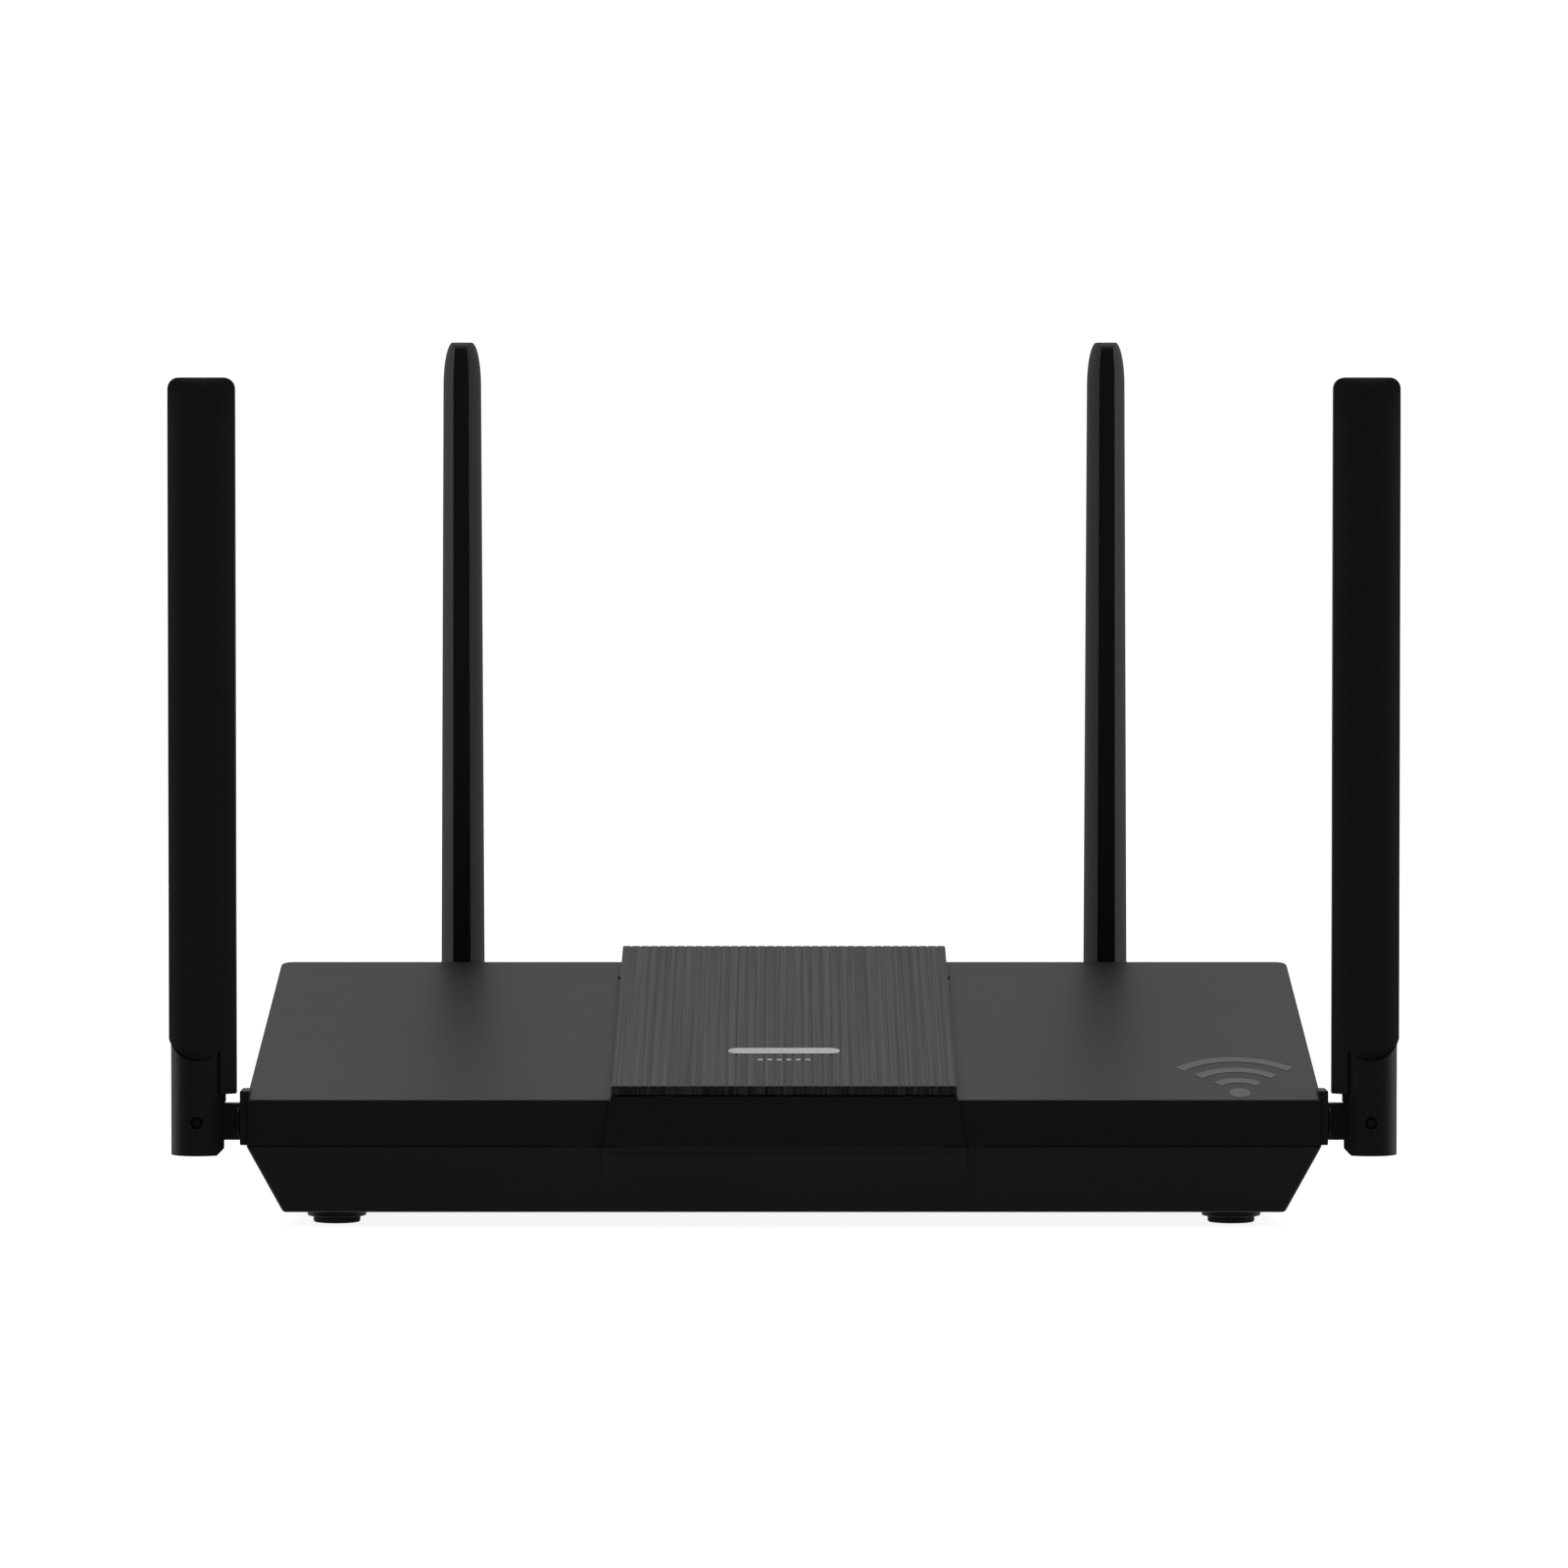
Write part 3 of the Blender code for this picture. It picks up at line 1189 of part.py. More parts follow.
def make_swivel():
    """The lug that carries the blade, its shoulder, and the split barrel through the wall."""
    bm = bmesh.new()
    half = LUG_THICKNESS / 2
    wall_face = -HINGE_REACH + EAR_PROUD + CLEAR
    add_box(bm, (wall_face, -half, -LUG_RADIUS), (0, half, LUG_RADIUS))
    swivel = add_object("antenna_swivel", bm, HINGE_PLASTIC)
    bm = bmesh.new()
    add_cylinder(bm, LUG_RADIUS, (0, -half, 0), (0, half, 0))
    join(swivel, bm, "round_end")
    bm = bmesh.new()
    add_cylinder(bm, LUG_RADIUS, (wall_face, 0, 0), (wall_face + SHOULDER, 0, 0))
    join(swivel, bm, "shoulder")
    bm = bmesh.new()
    add_cylinder(bm, BARREL_RADIUS, (-BARREL_END, 0, 0), (wall_face + SHOULDER / 2, 0, 0))
    join(swivel, bm, "barrel")
    bm = bmesh.new()
    add_cylinder(bm, RIM_RADIUS, (-BARREL_END, 0, 0), (-BARREL_END + RIM_LENGTH, 0, 0))
    join(swivel, bm, "rim")

    bm = bmesh.new()
    low = (-BARREL_END - WALL, -BARREL_SLIT / 2, -2 * RIM_RADIUS)
    add_box(bm, low, (-BARREL_END + RIM_LENGTH + WALL, BARREL_SLIT / 2, 2 * RIM_RADIUS))
    cut(swivel, bm, "slit")
    bm = bmesh.new()
    inner = -LUG_RADIUS - PIN_RADIUS
    add_cylinder(bm, BARREL_BORE_RADIUS, (-BARREL_END - WALL, 0, 0), (inner, 0, 0), SMALL_ROUND)
    cut(swivel, bm, "bore")
    bm = bmesh.new()
    turn = inner - BARREL_BORE_RADIUS
    add_cylinder(bm, BARREL_BORE_RADIUS, (turn, 0, 0), (turn, 0, 2 * LUG_RADIUS), SMALL_ROUND)
    cut(swivel, bm, "lead_exit")
    bm = bmesh.new()
    add_cylinder(bm, PIN_RADIUS + CLEAR, (0, -2 * half, 0), (0, 2 * half, 0))
    cut(swivel, bm, "pin_hole")
    freeze(swivel)
    return swivel


def make_hinge_pin():
    bm = bmesh.new()
    half = KNUCKLE_RADIUS - PIN_RECESS
    add_cylinder(bm, PIN_RADIUS, (0, -half, 0), (0, half, 0), SMALL_ROUND)
    return add_object("antenna_pin", bm, STEEL)


def make_element():
    """The radiating strip inside the blade."""
    bm = bmesh.new()
    half = Vector((ELEMENT_WIDTH / 2, ELEMENT_THICKNESS / 2, ELEMENT_LENGTH / 2))
    middle = Vector((BLADE_MIDDLE, 0, ELEMENT_START + ELEMENT_LENGTH / 2))
    add_box(bm, middle - half, middle + half)
    return add_object("antenna_element", bm, BRASS)


def add_empty(name, place, parent=None):
    made = bpy.data.objects.new(name, None)
    PARTS.objects.link(made)
    made.parent = parent
    made.location = place
    return made


def place_antenna(name, hinge, turn, masters):
    """Hangs one swivel and one blade on empties at the hinge's two axes."""
    swivel_axis = add_empty("swivel_axis_" + name, hinge)
    swivel_axis.rotation_euler.z = turn
    tilt_axis = add_empty("tilt_axis_" + name, (0, 0, 0), swivel_axis)
    for master, prefix, parent in (
        (masters[0], "swivel_", swivel_axis),
        (masters[1], "antenna_", tilt_axis),
        (masters[2], "hinge_pin_", tilt_axis),
        (masters[3], "antenna_element_", tilt_axis),
    ):
        piece = bpy.data.objects.new(prefix + name, master.data)
        PARTS.objects.link(piece)
        piece.parent = parent


def lead_route(hinge, outward, pad):
    """From the swivel's bore, round a soft bend and down to the pad on the board."""
    z = ON_BOARD + COAX_RADIUS
    inside = hinge - outward * (BARREL_END + 4 * WALL)
    down = Vector((pad.x, pad.y, inside.z)) - inside
    return [
        hinge - outward * (HINGE_REACH - WALL / 2),
        hinge - outward * (BARREL_END + WALL / 2),
        inside,
        inside + down * 0.45 - up(0.30 * (inside.z - z)),
        inside + down * 0.75 - up(0.80 * (inside.z - z)),
        Vector((pad.x, pad.y, z)) - down * 0.05,
        Vector((pad.x, pad.y, z)) + down * 0.12,
    ]


def add_lead(name, route):
    add_tube("antenna_lead_" + name, smooth_path(route, LEAD_STEPS), COAX_RADIUS, CHIP_BLACK)


def make_antennas():
    masters = (make_swivel(), make_blade(), make_hinge_pin(), make_element())
    for side, wall in side_hinges():
        name = "front_right" if side > 0 else "front_left"
        outward = Vector((side, 0, 0))
        hinge = wall + outward * HINGE_REACH
        place_antenna(name, hinge, 0 if side > 0 else math.pi, masters)
        pad = Vector((side * (BOARD_HALF_WIDTH - WALL), BOARD_FRONT + LEAD_FROM_FRONT, 0))
        add_lead(name, lead_route(hinge, outward, pad))
    for side, wall in rear_hinges():
        name = "rear_right" if side > 0 else "rear_left"
        outward = Vector((0, 1, 0))
        hinge = wall + outward * HINGE_REACH
        place_antenna(name, hinge, math.pi / 2, masters)
        pad = Vector((side * REAR_HINGE_X, BOARD_REAR - JACK_DEPTH - 4 * WALL, 0))
        add_lead(name, lead_route(hinge, outward, pad))
    for master in masters:
        bpy.data.objects.remove(master)


make_lower_case()
make_upper_cover()
make_center_panel()
make_feet()
make_screws()
make_board()
make_board_parts()
make_back_row()
make_antennas()
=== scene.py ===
import json
import math

import bpy
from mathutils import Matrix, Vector


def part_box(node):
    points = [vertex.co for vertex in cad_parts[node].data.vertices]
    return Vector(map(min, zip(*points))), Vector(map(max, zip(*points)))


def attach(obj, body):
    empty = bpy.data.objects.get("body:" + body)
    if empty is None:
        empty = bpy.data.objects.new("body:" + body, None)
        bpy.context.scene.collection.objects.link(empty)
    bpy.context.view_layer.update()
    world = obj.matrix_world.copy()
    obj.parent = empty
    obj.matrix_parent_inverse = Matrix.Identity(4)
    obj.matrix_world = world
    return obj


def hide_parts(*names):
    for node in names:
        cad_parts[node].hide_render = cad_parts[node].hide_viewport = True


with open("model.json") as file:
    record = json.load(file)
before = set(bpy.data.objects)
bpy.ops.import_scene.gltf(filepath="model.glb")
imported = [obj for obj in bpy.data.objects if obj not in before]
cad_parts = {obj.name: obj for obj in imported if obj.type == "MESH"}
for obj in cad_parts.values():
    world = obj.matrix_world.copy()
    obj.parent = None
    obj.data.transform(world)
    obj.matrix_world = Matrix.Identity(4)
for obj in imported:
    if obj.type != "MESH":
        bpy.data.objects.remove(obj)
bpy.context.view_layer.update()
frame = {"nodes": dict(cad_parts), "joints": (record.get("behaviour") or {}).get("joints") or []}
joints = {joint["name"]: joint for joint in frame["joints"]}
tiny = 0.00001
clear = 0.0003
print("frame loaded:", len(frame["nodes"]), "nodes")


# Modelling tools: each works on one object that is picked alone

def onlyPick(piece):
    bpy.ops.object.select_all(action="DESELECT")
    piece.select_set(True)
    bpy.context.view_layer.objects.active = piece


def takeNew(name):
    # the primitive that was just added, with its place moved into its mesh
    piece = bpy.context.active_object
    piece.name = name
    piece.data.name = name
    bpy.ops.object.transform_apply(location=True, rotation=True, scale=True)
    return piece


def startCube(name, low, high):
    low, high = Vector(low), Vector(high)
    bpy.ops.object.select_all(action="DESELECT")
    bpy.ops.mesh.primitive_cube_add(size=1, location=(low + high) / 2, scale=high - low)
    return takeNew(name)


def startRod(name, radius, start, end, sides=48):
    start, end = Vector(start), Vector(end)
    along = end - start
    bpy.ops.object.select_all(action="DESELECT")
    bpy.ops.mesh.primitive_cylinder_add(
        vertices=sides,
        radius=radius,
        depth=along.length,
        location=(start + end) / 2,
        rotation=along.to_track_quat("Z", "Y").to_euler(),
    )
    return takeNew(name)


def pick(piece, kind, wanted):
    # leaves the piece in edit mode with the wanted vertices, edges or faces selected
    onlyPick(piece)
    bpy.ops.object.mode_set(mode="EDIT")
    bpy.ops.mesh.select_mode(type=kind)
    bpy.ops.mesh.select_all(action="DESELECT")
    bpy.ops.object.mode_set(mode="OBJECT")
    mesh = piece.data
    if kind == "VERT":
        for vertex in mesh.vertices:
            vertex.select = wanted(vertex.co)
    elif kind == "EDGE":
        for edge in mesh.edges:
            edge.select = wanted(*(mesh.vertices[end].co for end in edge.vertices))
    else:
        for face in mesh.polygons:
            face.select = wanted(face.center, face.normal)
    bpy.ops.object.mode_set(mode="EDIT")


def leave():
    bpy.ops.object.mode_set(mode="OBJECT")


def shift(piece, wanted, way):
    pick(piece, "VERT", wanted)
    bpy.ops.transform.translate(value=way)
    leave()


def stretch(piece, wanted, scale, centre):
    pick(piece, "VERT", wanted)
    bpy.ops.transform.resize(value=scale, center_override=centre)
    leave()


def roundEdges(piece, wanted, width, steps):
    pick(piece, "EDGE", wanted)
    bpy.ops.mesh.bevel(offset=width, segments=steps, profile=0.5, affect="EDGES", clamp_overlap=True)
    leave()


def addRing(piece, place, way):
    # a ring of edges where the plane crosses the piece
    pick(piece, "FACE", lambda middle, normal: True)
    bpy.ops.mesh.bisect(plane_co=place, plane_no=way)
    leave()


def modify(piece, kind, **settings):
    onlyPick(piece)
    modifier = piece.modifiers.new(kind.lower(), kind)
    for name, value in settings.items():
        setattr(modifier, name, value)
    bpy.ops.object.modifier_apply(modifier=modifier.name)


def combine(piece, other, operation):
    modify(piece, "BOOLEAN", operation=operation, solver="EXACT", object=other)
    bpy.data.objects.remove(other)


def carve(piece, *cutters):
    for cutter in cutters:
        combine(piece, cutter, "DIFFERENCE")


def unite(piece, *others):
    for other in others:
        combine(piece, other, "UNION")


def copyOf(piece, name, way=(0, 0, 0), turn=0.0):
    # a copy with its own mesh, turned about the upright axis and then moved
    copy = piece.copy()
    copy.data = piece.data.copy()
    copy.name = name
    copy.data.name = name
    bpy.context.scene.collection.objects.link(copy)
    copy.rotation_euler.z = turn
    copy.location = way
    onlyPick(copy)
    bpy.ops.object.transform_apply(location=True, rotation=True, scale=True)
    return copy


def rowOf(piece, ways):
    # one object that holds a copy of the piece at each place
    copies = [copyOf(piece, piece.name, way) for way in ways]
    bpy.data.objects.remove(piece)
    onlyPick(copies[0])
    for copy in copies:
        copy.select_set(True)
    bpy.ops.object.join()
    return bpy.context.active_object


def tidyMesh(piece):
    # merges doubles, points the faces outwards and shades round faces smooth
    pick(piece, "VERT", lambda place: True)
    bpy.ops.mesh.remove_doubles(threshold=0.000002)
    bpy.ops.mesh.normals_make_consistent(inside=False)
    leave()
    onlyPick(piece)
    bpy.ops.object.shade_smooth_by_angle(angle=math.radians(35.0))
    modify(piece, "WEIGHTED_NORMAL", keep_sharp=True, weight=50)


def finish(piece, body, look, slot, *nodes):
    piece.data.materials.clear()
    piece.data.materials.append(look)
    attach(piece, body)
    if nodes:
        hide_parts(*nodes)


def camel(node):
    return node.title().replace("_", "")


def middleOf(node):
    low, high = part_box(node)
    return (low + high) / 2


def floorUnder(node):
    middle = middleOf(node)
    return Vector((middle.x, middle.y, 0))


def up(height):
    return Vector((0, 0, height))


def spread(count, pitch):
    # places in a row from left to right, about the middle
    return [((number - (count - 1) / 2) * pitch, 0, 0) for number in range(count)]


# Shader maths: a Wire is one output of a node

class Wire:
    def __init__(self, tree, socket=None):
        self.tree = tree
        self.socket = socket

    def node(self, kind, settings, inputs, output=0):
        # any node: its settings first, then the values or links of its sockets
        made = self.tree.nodes.new(kind)
        for name, value in settings.items():
            setattr(made, name, value)
        for name, value in inputs.items():
            self.feed(made.inputs[name], value)
        return Wire(self.tree, made.outputs[output])

    def feed(self, socket, value):
        if isinstance(value, Wire):
            self.tree.links.new(value.socket, socket)
        else:
            socket.default_value = value

    def maths(self, operation, first, second):
        return self.node("ShaderNodeMath", {"operation": operation}, {0: first, 1: second})

    def __add__(self, other):
        return self.maths("ADD", self, other)

    __radd__ = __add__

    def __sub__(self, other):
        return self.maths("SUBTRACT", self, other)

    def __rsub__(self, other):
        return self.maths("SUBTRACT", other, self)

    def __mul__(self, other):
        return self.maths("MULTIPLY", self, other)

    __rmul__ = __mul__

    def between(self, low, high):
        # 0 below low and 1 above high, with a smooth step
        return self.node(
            "ShaderNodeMapRange",
            {"interpolation_type": "SMOOTHSTEP", "clamp": True},
            {"Value": self, "From Min": low, "From Max": high},
            "Result",
        )


def newLook(name):
    look = bpy.data.materials.new(name)
    look.use_nodes = True
    wire = Wire(look.node_tree)
    shader = look.node_tree.nodes["Principled BSDF"]
    place = wire.node("ShaderNodeTexCoord", {}, {}, "Object")
    return look, wire, shader, place


def mixColours(wire, amount, first, second):
    return wire.node(
        "ShaderNodeMix",
        {"data_type": "RGBA", "clamp_factor": True},
        {0: amount, 6: (*first, 1.0) if isinstance(first, tuple) else first, 7: (*second, 1.0)},
        2,
    )


def noise(wire, place, scale, detail=2.0, roughness=0.5):
    sockets = {"Vector": place, "Scale": scale, "Detail": detail, "Roughness": roughness}
    return wire.node("ShaderNodeTexNoise", {}, sockets)


def stretched(wire, place, scale):
    # the same place, scaled differently along each way, for streaks
    return wire.node("ShaderNodeMapping", {"vector_type": "POINT"}, {"Vector": place, "Scale": scale})


def addBump(wire, shader, strength, depth, height):
    sockets = {"Strength": strength, "Distance": depth, "Height": height}
    wire.feed(shader.inputs["Normal"], wire.node("ShaderNodeBump", {}, sockets))


def mouldedPlastic(name, dark, pale, gloss, spread, grain, depth, ior=1.5):
    # black plastic from a spark-eroded mould: fine pits, and patches that are a little shinier
    look, wire, shader, place = newLook(name)
    pits = noise(wire, place, grain, 3.0, 0.6)
    flow = noise(wire, place, 22.0, 2.0)
    dust = noise(wire, place, 640.0, 1.0).between(0.55, 0.8)
    tone = mixColours(wire, flow * 0.6 + pits * 0.4, dark, pale)
    tone = mixColours(wire, dust * 0.12, tone, tuple(part * 1.8 for part in pale))
    wire.feed(shader.inputs["Base Color"], tone)
    wire.feed(shader.inputs["Roughness"], gloss + (flow - 0.5) * spread + (pits - 0.5) * 0.06)
    addBump(wire, shader, 0.5, depth, pits)
    shader.inputs["IOR"].default_value = ior
    return look


def brushedPlastic(name, dark, pale, gloss, spread):
    # the panel's ribs carry fine streaks from front to back
    look, wire, shader, place = newLook(name)
    drawn = stretched(wire, place, (1, 0.003, 0.003))
    fine = noise(wire, drawn, 1900.0, 2.0, 0.7)
    broad = noise(wire, drawn, 420.0, 2.0, 0.6)
    grain = noise(wire, place, 2400.0, 2.0)
    streaks = (fine * 0.8 + broad * 0.2).between(0.3, 0.7)
    wire.feed(shader.inputs["Base Color"], mixColours(wire, streaks, dark, pale))
    wire.feed(shader.inputs["Roughness"], gloss + (streaks - 0.5) * spread + (grain - 0.5) * 0.04)
    addBump(wire, shader, 0.5, 0.00007, streaks * 0.9 + grain * 0.1)
    return look


def metal(name, colour, worn, gloss, grain, stretchBy):
    # plated or drawn metal with fine streaks along one way
    look, wire, shader, place = newLook(name)
    streaks = noise(wire, stretched(wire, place, stretchBy), grain, 3.0, 0.7)
    blooms = noise(wire, place, 160.0, 2.0)
    wire.feed(shader.inputs["Base Color"], mixColours(wire, streaks * 0.5 + blooms * 0.5, worn, colour))
    wire.feed(shader.inputs["Roughness"], gloss + (streaks - 0.5) * 0.25)
    addBump(wire, shader, 0.3, 0.00003, streaks)
    shader.inputs["Metallic"].default_value = 1.0
    return look


def rubberLook(name):
    look, wire, shader, place = newLook(name)
    crumb = noise(wire, place, 3200.0, 4.0, 0.7)
    bloom = noise(wire, place, 90.0, 2.0)
    tone = mixColours(wire, bloom, (0.0035, 0.0035, 0.0035), (0.0080, 0.0080, 0.0078))
    wire.feed(shader.inputs["Base Color"], tone)
    wire.feed(shader.inputs["Roughness"], 0.75 + crumb * 0.2)
    addBump(wire, shader, 0.6, 0.00004, crumb)
    return look


def boardLook(name):
    # green solder mask over a woven laminate, with copper tracks that show as paler lines
    look, wire, shader, place = newLook(name)
    tracks = wire.node(
        "ShaderNodeTexBrick",
        {"offset": 0.35, "squash": 1.0},
        {"Vector": place, "Scale": 110.0, "Mortar Size": 0.06, "Mortar Smooth": 0.4},
        "Fac",
    )
    weave = noise(wire, place, 900.0, 2.0)
    mask = mixColours(wire, weave, (0.006, 0.045, 0.018), (0.010, 0.065, 0.026))
    wire.feed(shader.inputs["Base Color"], mixColours(wire, tracks * 0.7, mask, (0.025, 0.13, 0.05)))
    wire.feed(shader.inputs["Roughness"], 0.32 + weave * 0.15)
    addBump(wire, shader, 0.4, 0.00004, tracks)
    return look


def clearLook(name):
    look, wire, shader, place = newLook(name)
    haze = noise(wire, place, 420.0, 3.0)
    wire.feed(shader.inputs["Base Color"], mixColours(wire, haze, (0.78, 0.80, 0.82), (0.90, 0.92, 0.93)))
    wire.feed(shader.inputs["Roughness"], 0.08 + haze * 0.15)
    shader.inputs["Transmission Weight"].default_value = 0.6
    return look


def printLook(name, colour, worn):
    # pad-printed ink, a little thin where the plastic's grain stands up
    look, wire, shader, place = newLook(name)
    grain = noise(wire, place, 2600.0, 3.0, 0.6)
    wire.feed(shader.inputs["Base Color"], mixColours(wire, grain.between(0.35, 0.7), worn, colour))
    wire.feed(shader.inputs["Roughness"], 0.42 + grain * 0.15)
    addBump(wire, shader, 0.3, 0.00002, grain)
    return look


looks = {
    "case": mouldedPlastic(
        "caseSatin", (0.0040, 0.0040, 0.0042), (0.0060, 0.0060, 0.0062), 0.46, 0.05, 2400.0, 0.00004),
    "panel": brushedPlastic("ribbedSatin", (0.0020, 0.0020, 0.0021), (0.0210, 0.0210, 0.0214), 0.45, 0.30),
    "antenna": mouldedPlastic(
        "antennaSatin", (0.0052, 0.0052, 0.0054), (0.0070, 0.0070, 0.0072),
        0.50, 0.06, 2800.0, 0.00003, 1.38),
    "hinge": mouldedPlastic(
        "hingeNylon", (0.0030, 0.0030, 0.0031), (0.0046, 0.0046, 0.0048), 0.40, 0.06, 2600.0, 0.00003),
    "socket": mouldedPlastic(
        "socketNylon", (0.0100, 0.0100, 0.0105), (0.0170, 0.0170, 0.0175), 0.50, 0.08, 1800.0, 0.00004),
    "button": mouldedPlastic(
        "buttonSatin", (0.0180, 0.0180, 0.0190), (0.0250, 0.0250, 0.0260), 0.40, 0.06, 2400.0, 0.00003),
    "chip": mouldedPlastic(
        "mouldedEpoxy", (0.0120, 0.0120, 0.0120), (0.0220, 0.0220, 0.0220), 0.60, 0.08, 1500.0, 0.00004),
    "lead": mouldedPlastic(
        "leadJacket", (0.0080, 0.0080, 0.0080), (0.0140, 0.0140, 0.0140), 0.50, 0.06, 1800.0, 0.00002),
    "rubber": rubberLook("footRubber"),
    "steel": metal("zincSteel", (0.56, 0.56, 0.57), (0.36, 0.36, 0.37), 0.32, 900.0, (1.0, 1.0, 0.2)),
    "aluminium": metal(
        "extrudedAluminium", (0.74, 0.74, 0.75), (0.55, 0.55, 0.56), 0.34, 700.0, (1.0, 0.1, 1.0)),
    "brass": metal("antennaBrass", (0.72, 0.52, 0.24), (0.48, 0.33, 0.14), 0.30, 700.0, (1.0, 1.0, 0.1)),
    "gold": metal("contactGold", (0.85, 0.62, 0.28), (0.62, 0.42, 0.16), 0.25, 1400.0, (1.0, 0.2, 1.0)),
    "badge": metal("brushedBadge", (0.80, 0.80, 0.81), (0.55, 0.55, 0.56), 0.38, 900.0, (0.1, 1.0, 1.0)),
    "laminate": boardLook("solderMask"),
    "lightGuide": clearLook("clearAcrylic"),
    "greyInk": printLook("greyInk", (0.135, 0.135, 0.138), (0.105, 0.105, 0.108)),
    "paleInk": printLook("paleInk", (0.62, 0.62, 0.63), (0.46, 0.46, 0.47)),
}
print("materials made:", len(looks))

# Every node of the frame gets a look by how its name starts; the chips and switches take the last
lookOfNode = {
    "main_board": "laminate", "led_light_guide": "lightGuide", "heatsink": "aluminium",
    "capacitor": "aluminium", "radio_shield": "steel", "board_screw": "steel", "case_screw": "steel",
    "hinge_pin": "hinge", "antenna_element": "brass", "antenna_lead": "lead", "antenna_": "antenna",
    "swivel": "hinge", "foot": "rubber", "lan_jack": "socket", "wan_jack": "socket", "dc_jack": "socket",
    "power_button": "button", "wps_button": "button", "reset_button": "button",
    "center_panel": "panel", "upper_cover": "case", "lower_case": "case", "rear_panel": "case",
    "": "chip",
}
for nodeName, node in frame["nodes"].items():
    found = [look for start, look in lookOfNode.items() if nodeName.startswith(start)]
    node.data.materials.clear()
    node.data.materials.append(looks[found[0]])


# Sizes that several pieces share, and places that the frame gives

body = {
    "seam": 0.0197,
    "footHeight": 0.0030,
    "plateFlange": 0.0016,
    "earProud": 0.0016,
    "tabProud": 0.0010,
    "frontBand": 0.0114,
    "rearRise": 0.0255,
    "lowerInset": 0.0083,
    "wall": 0.0020,
    "seamGap": 0.0002,
    "frontCorner": 0.0010,
    "rearCorner": 0.0030,
    "topEdge": 0.0006,
    "seamEdge": 0.0001,
}
wall = body["wall"]
seam = body["seam"]
footHeight = body["footHeight"]
ioFlange = body["plateFlange"]
coverLow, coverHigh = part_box("upper_cover")
panelLow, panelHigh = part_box("center_panel")
ioLow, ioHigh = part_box("rear_panel")
halfWidth = coverHigh.x - body["earProud"]
front = coverLow.y
rear = coverHigh.y - body["earProud"]
slope = body["rearRise"] / (rear - front)
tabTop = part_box("lower_case")[1].z
lowerHeight = seam - footHeight
ioHalf = ioHigh.x - ioFlange
ioTop = ioHigh.z - ioFlange
ioBottom = ioLow.z + ioFlange
turns = {"front_left": math.pi, "front_right": 0.0, "rear_left": math.pi / 2, "rear_right": math.pi / 2}
hinges = {corner: Vector(joints["tilt_" + corner]["pos_m"]) for corner in turns}


def topHeight(y):
    return seam + body["frontBand"] + slope * (y - front)


def wedge(name, inset, drop, bottom):
    # the cover's outline, drawn in all round by the inset and lowered by the drop
    frontY, rearY = front + inset, rear - inset
    half = halfWidth - inset
    piece = startCube(name, (-half, frontY, bottom), (half, rearY, topHeight(frontY) - drop))
    shift(piece, lambda p: p.y > 0 and p.z > bottom + tiny, (0, 0, slope * (rearY - frontY)))
    return piece


def roundUprights(piece):
    def upright(a, b):
        return abs(a.x) > halfWidth / 2 and a.x * b.x > 0 and a.y * b.y > 0 and abs(a.z - b.z) > wall

    roundEdges(piece, lambda a, b: upright(a, b) and a.y < 0, body["frontCorner"], 6)
    roundEdges(piece, lambda a, b: upright(a, b) and a.y > 0, body["rearCorner"], 10)


# Upper cover: a wedge with ears for the hinges, air slots behind and a notch for the tab

coverSizes = {
    "sideEarHalf": 0.0052,
    "sideEarInside": 0.0008,
    "sideEarRise": 0.0020,
    "rearEarWidth": 0.0120,
    "rearEarHeight": 0.0116,
    "earEdge": 0.0003,
    "holeRadius": 0.0032,
    "tabHalf": 0.042,
    "windowHalf": 0.034,
    "windowMargin": 0.014,
    "windowBar": 0.006,
    "slotCount": 27,
    "slotPitch": 0.0044,
    "slotWidth": 0.0017,
    "slotHeight": 0.0110,
    "slotRound": 0.45,
}


def sideEar(side, size):
    middle, half = hinges["front_right"].y, size["sideEarHalf"]
    inner, outer = side * (halfWidth - size["sideEarInside"]), side * (halfWidth + body["earProud"])
    bottom, top = seam + body["seamGap"], topHeight(front) + size["sideEarRise"]
    ear = startCube(
        "ear", (min(inner, outer), middle - half, bottom), (max(inner, outer), middle + half, top))
    roundEdges(ear, lambda a, b: True, size["earEdge"], 3)
    return ear


def rearEar(hinge, size):
    width, height = size["rearEarWidth"] / 2, size["rearEarHeight"] / 2
    ear = startCube(
        "ear", (hinge.x - width, rear - wall / 2, hinge.z - height),
        (hinge.x + width, rear + body["earProud"], hinge.z + height))
    roundEdges(ear, lambda a, b: True, size["earEdge"], 3)
    return ear


